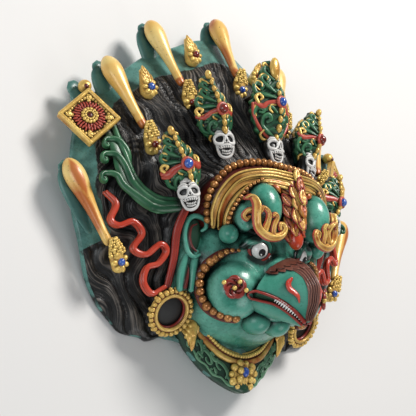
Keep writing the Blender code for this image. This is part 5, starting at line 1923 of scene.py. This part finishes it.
def make_stage():
    clear()
    bpy.ops.mesh.primitive_plane_add(size=6, location=(0, 0, -0.0002))
    floor = bpy.context.object
    floor.name = "floor"
    paint = Paint("floor_paint")
    tone = paint.mix(paint.noise(3, 2) * 0.4, (0.8, 0.79, 0.78), (0.74, 0.73, 0.72))
    floor.data.materials.append(paint.shade(tone, 0.6, None, coat=0))
    world = bpy.data.worlds.new("studio")
    bpy.context.scene.world = world
    world.use_nodes = True
    sky = world.node_tree.nodes["Background"].inputs
    sky["Color"].default_value = (0.92, 0.96, 1, 1)
    sky["Strength"].default_value = 0.2
    for name, place, size, power, tint in LIGHTS:
        bpy.ops.object.light_add(type="AREA", location=place)
        lamp = bpy.context.object
        lamp.name = name
        lamp.data.size = size
        lamp.data.energy = power
        lamp.data.color = tint
        lamp.rotation_euler = (Vector((0, 0, 0.03)) - Vector(place)).to_track_quat("-Z", "Y").to_euler()
    make_camera()


# Add-on ------------


def colour_setting(name, shade):
    label = name.replace("_", " ").capitalize()
    return bpy.props.FloatVectorProperty(
        name=label, description=f"{label}, linear", subtype="COLOR", size=3, min=0, max=1,
        default=linear(*shade),
    )


class MaskSizes(bpy.types.PropertyGroup):
    """The sizes of what repeats over the mask"""
    lock_density: bpy.props.FloatProperty(
        name="Locks", description="How close the locks of hair lie, as a share of the usual", default=1.0,
    )
    lock_height: bpy.props.FloatProperty(
        name="Lock height", description="Height of a lock over its grooves", default=0.0024, unit="LENGTH",
    )
    bead_radius: bpy.props.FloatProperty(
        name="Bead radius", description="Radius of the beads outside the brow band", default=0.00195,
        unit="LENGTH",
    )


class MaskColours(bpy.types.PropertyGroup):
    """The colours that the paints are mixed from"""
    __annotations__ = {name: colour_setting(name, shade) for name, shade in COLOURS.items()}


class MASK_OT_paints(bpy.types.Operator):
    """Mix the paints that the pieces take"""
    bl_idname = "mask.paints"
    bl_label = "Paints"

    def execute(self, context):
        make_paints(context.scene.mask_colours)
        return {"FINISHED"}


class MASK_OT_board(bpy.types.Operator):
    """Model the hair board with its hollow back and round ends"""
    bl_idname = "mask.board"
    bl_label = "Hair board"

    def execute(self, context):
        make_hair(context.scene.mask_sizes)
        make_lobes()
        return {"FINISHED"}


class MASK_OT_face(bpy.types.Operator):
    """Model the face with its eyes"""
    bl_idname = "mask.face"
    bl_label = "Face"

    def execute(self, context):
        make_face()
        make_eyes()
        return {"FINISHED"}


class MASK_OT_beak(bpy.types.Operator):
    """Model the beak with its lips, teeth, nostrils and feathers"""
    bl_idname = "mask.beak"
    bl_label = "Beak"

    def execute(self, context):
        make_beak()
        make_lips()
        make_beak_feathers()
        return {"FINISHED"}


class MASK_OT_band(bpy.types.Operator):
    """Model the band over the brow and its rows of beads"""
    bl_idname = "mask.band"
    bl_label = "Brow band"

    def execute(self, context):
        make_band(context.scene.mask_sizes)
        return {"FINISHED"}


class MASK_OT_brow(bpy.types.Operator):
    """Model the brow curls and the flame between them"""
    bl_idname = "mask.brow"
    bl_label = "Brow curls"

    def execute(self, context):
        make_brow_curls()
        make_flame()
        return {"FINISHED"}


class MASK_OT_cheeks(bpy.types.Operator):
    """Model the bead arcs and flowers of the cheeks"""
    bl_idname = "mask.cheeks"
    bl_label = "Cheek beads"

    def execute(self, context):
        make_cheeks()
        return {"FINISHED"}


class MASK_OT_ears(bpy.types.Operator):
    """Model the ears and their rings"""
    bl_idname = "mask.ears"
    bl_label = "Ears and rings"

    def execute(self, context):
        make_ears()
        make_earrings()
        return {"FINISHED"}


class MASK_OT_ribbons(bpy.types.Operator):
    """Model the ribbons and scarves"""
    bl_idname = "mask.ribbons"
    bl_label = "Ribbons"

    def execute(self, context):
        make_ribbons()
        make_scarves()
        return {"FINISHED"}


class MASK_OT_clubs(bpy.types.Operator):
    """Model the clubs and their flowers"""
    bl_idname = "mask.clubs"
    bl_label = "Clubs"

    def execute(self, context):
        make_clubs()
        make_flowers()
        return {"FINISHED"}


class MASK_OT_plaques(bpy.types.Operator):
    """Model the square plaques at the sides"""
    bl_idname = "mask.plaques"
    bl_label = "Plaques"

    def execute(self, context):
        make_plates()
        return {"FINISHED"}


class MASK_OT_crown(bpy.types.Operator):
    """Model the crown leaves and the skulls below them"""
    bl_idname = "mask.crown"
    bl_label = "Crown"

    def execute(self, context):
        make_leaves()
        make_skulls()
        return {"FINISHED"}


class MASK_OT_collar(bpy.types.Operator):
    """Model the collar under the chin and its flower"""
    bl_idname = "mask.collar"
    bl_label = "Collar"

    def execute(self, context):
        make_collar()
        make_collar_flower()
        return {"FINISHED"}


class MASK_OT_stage(bpy.types.Operator):
    """Set up the floor, the lights and the camera"""
    bl_idname = "mask.stage"
    bl_label = "Stage"

    def execute(self, context):
        make_stage()
        return {"FINISHED"}


STEPS = (
    MASK_OT_paints, MASK_OT_board, MASK_OT_face, MASK_OT_beak, MASK_OT_band, MASK_OT_brow,
    MASK_OT_cheeks, MASK_OT_ears, MASK_OT_ribbons, MASK_OT_clubs, MASK_OT_plaques, MASK_OT_crown,
    MASK_OT_collar, MASK_OT_stage,
)


class MASK_PT_panel(bpy.types.Panel):
    """The mask's sizes, colours and pieces"""
    bl_label = "Garuda Mask"
    bl_idname = "MASK_PT_panel"
    bl_space_type = "VIEW_3D"
    bl_region_type = "UI"
    bl_category = "Mask"

    def draw(self, context):
        for group in (context.scene.mask_sizes, context.scene.mask_colours):
            for name in group.__annotations__:
                self.layout.prop(group, name)
        for step in STEPS:
            self.layout.operator(step.bl_idname)


CLASSES = (MaskSizes, MaskColours, *STEPS, MASK_PT_panel)


def register():
    for each in CLASSES:
        bpy.utils.register_class(each)
    bpy.types.Scene.mask_sizes = bpy.props.PointerProperty(type=MaskSizes)
    bpy.types.Scene.mask_colours = bpy.props.PointerProperty(type=MaskColours)


def unregister():
    del bpy.types.Scene.mask_sizes
    del bpy.types.Scene.mask_colours
    for each in reversed(CLASSES):
        bpy.utils.unregister_class(each)


def main():
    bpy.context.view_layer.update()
    register()
    for step in STEPS:
        group, action = step.bl_idname.split(".")
        getattr(getattr(bpy.ops, group), action)()


if __name__ == "__main__":
    main()
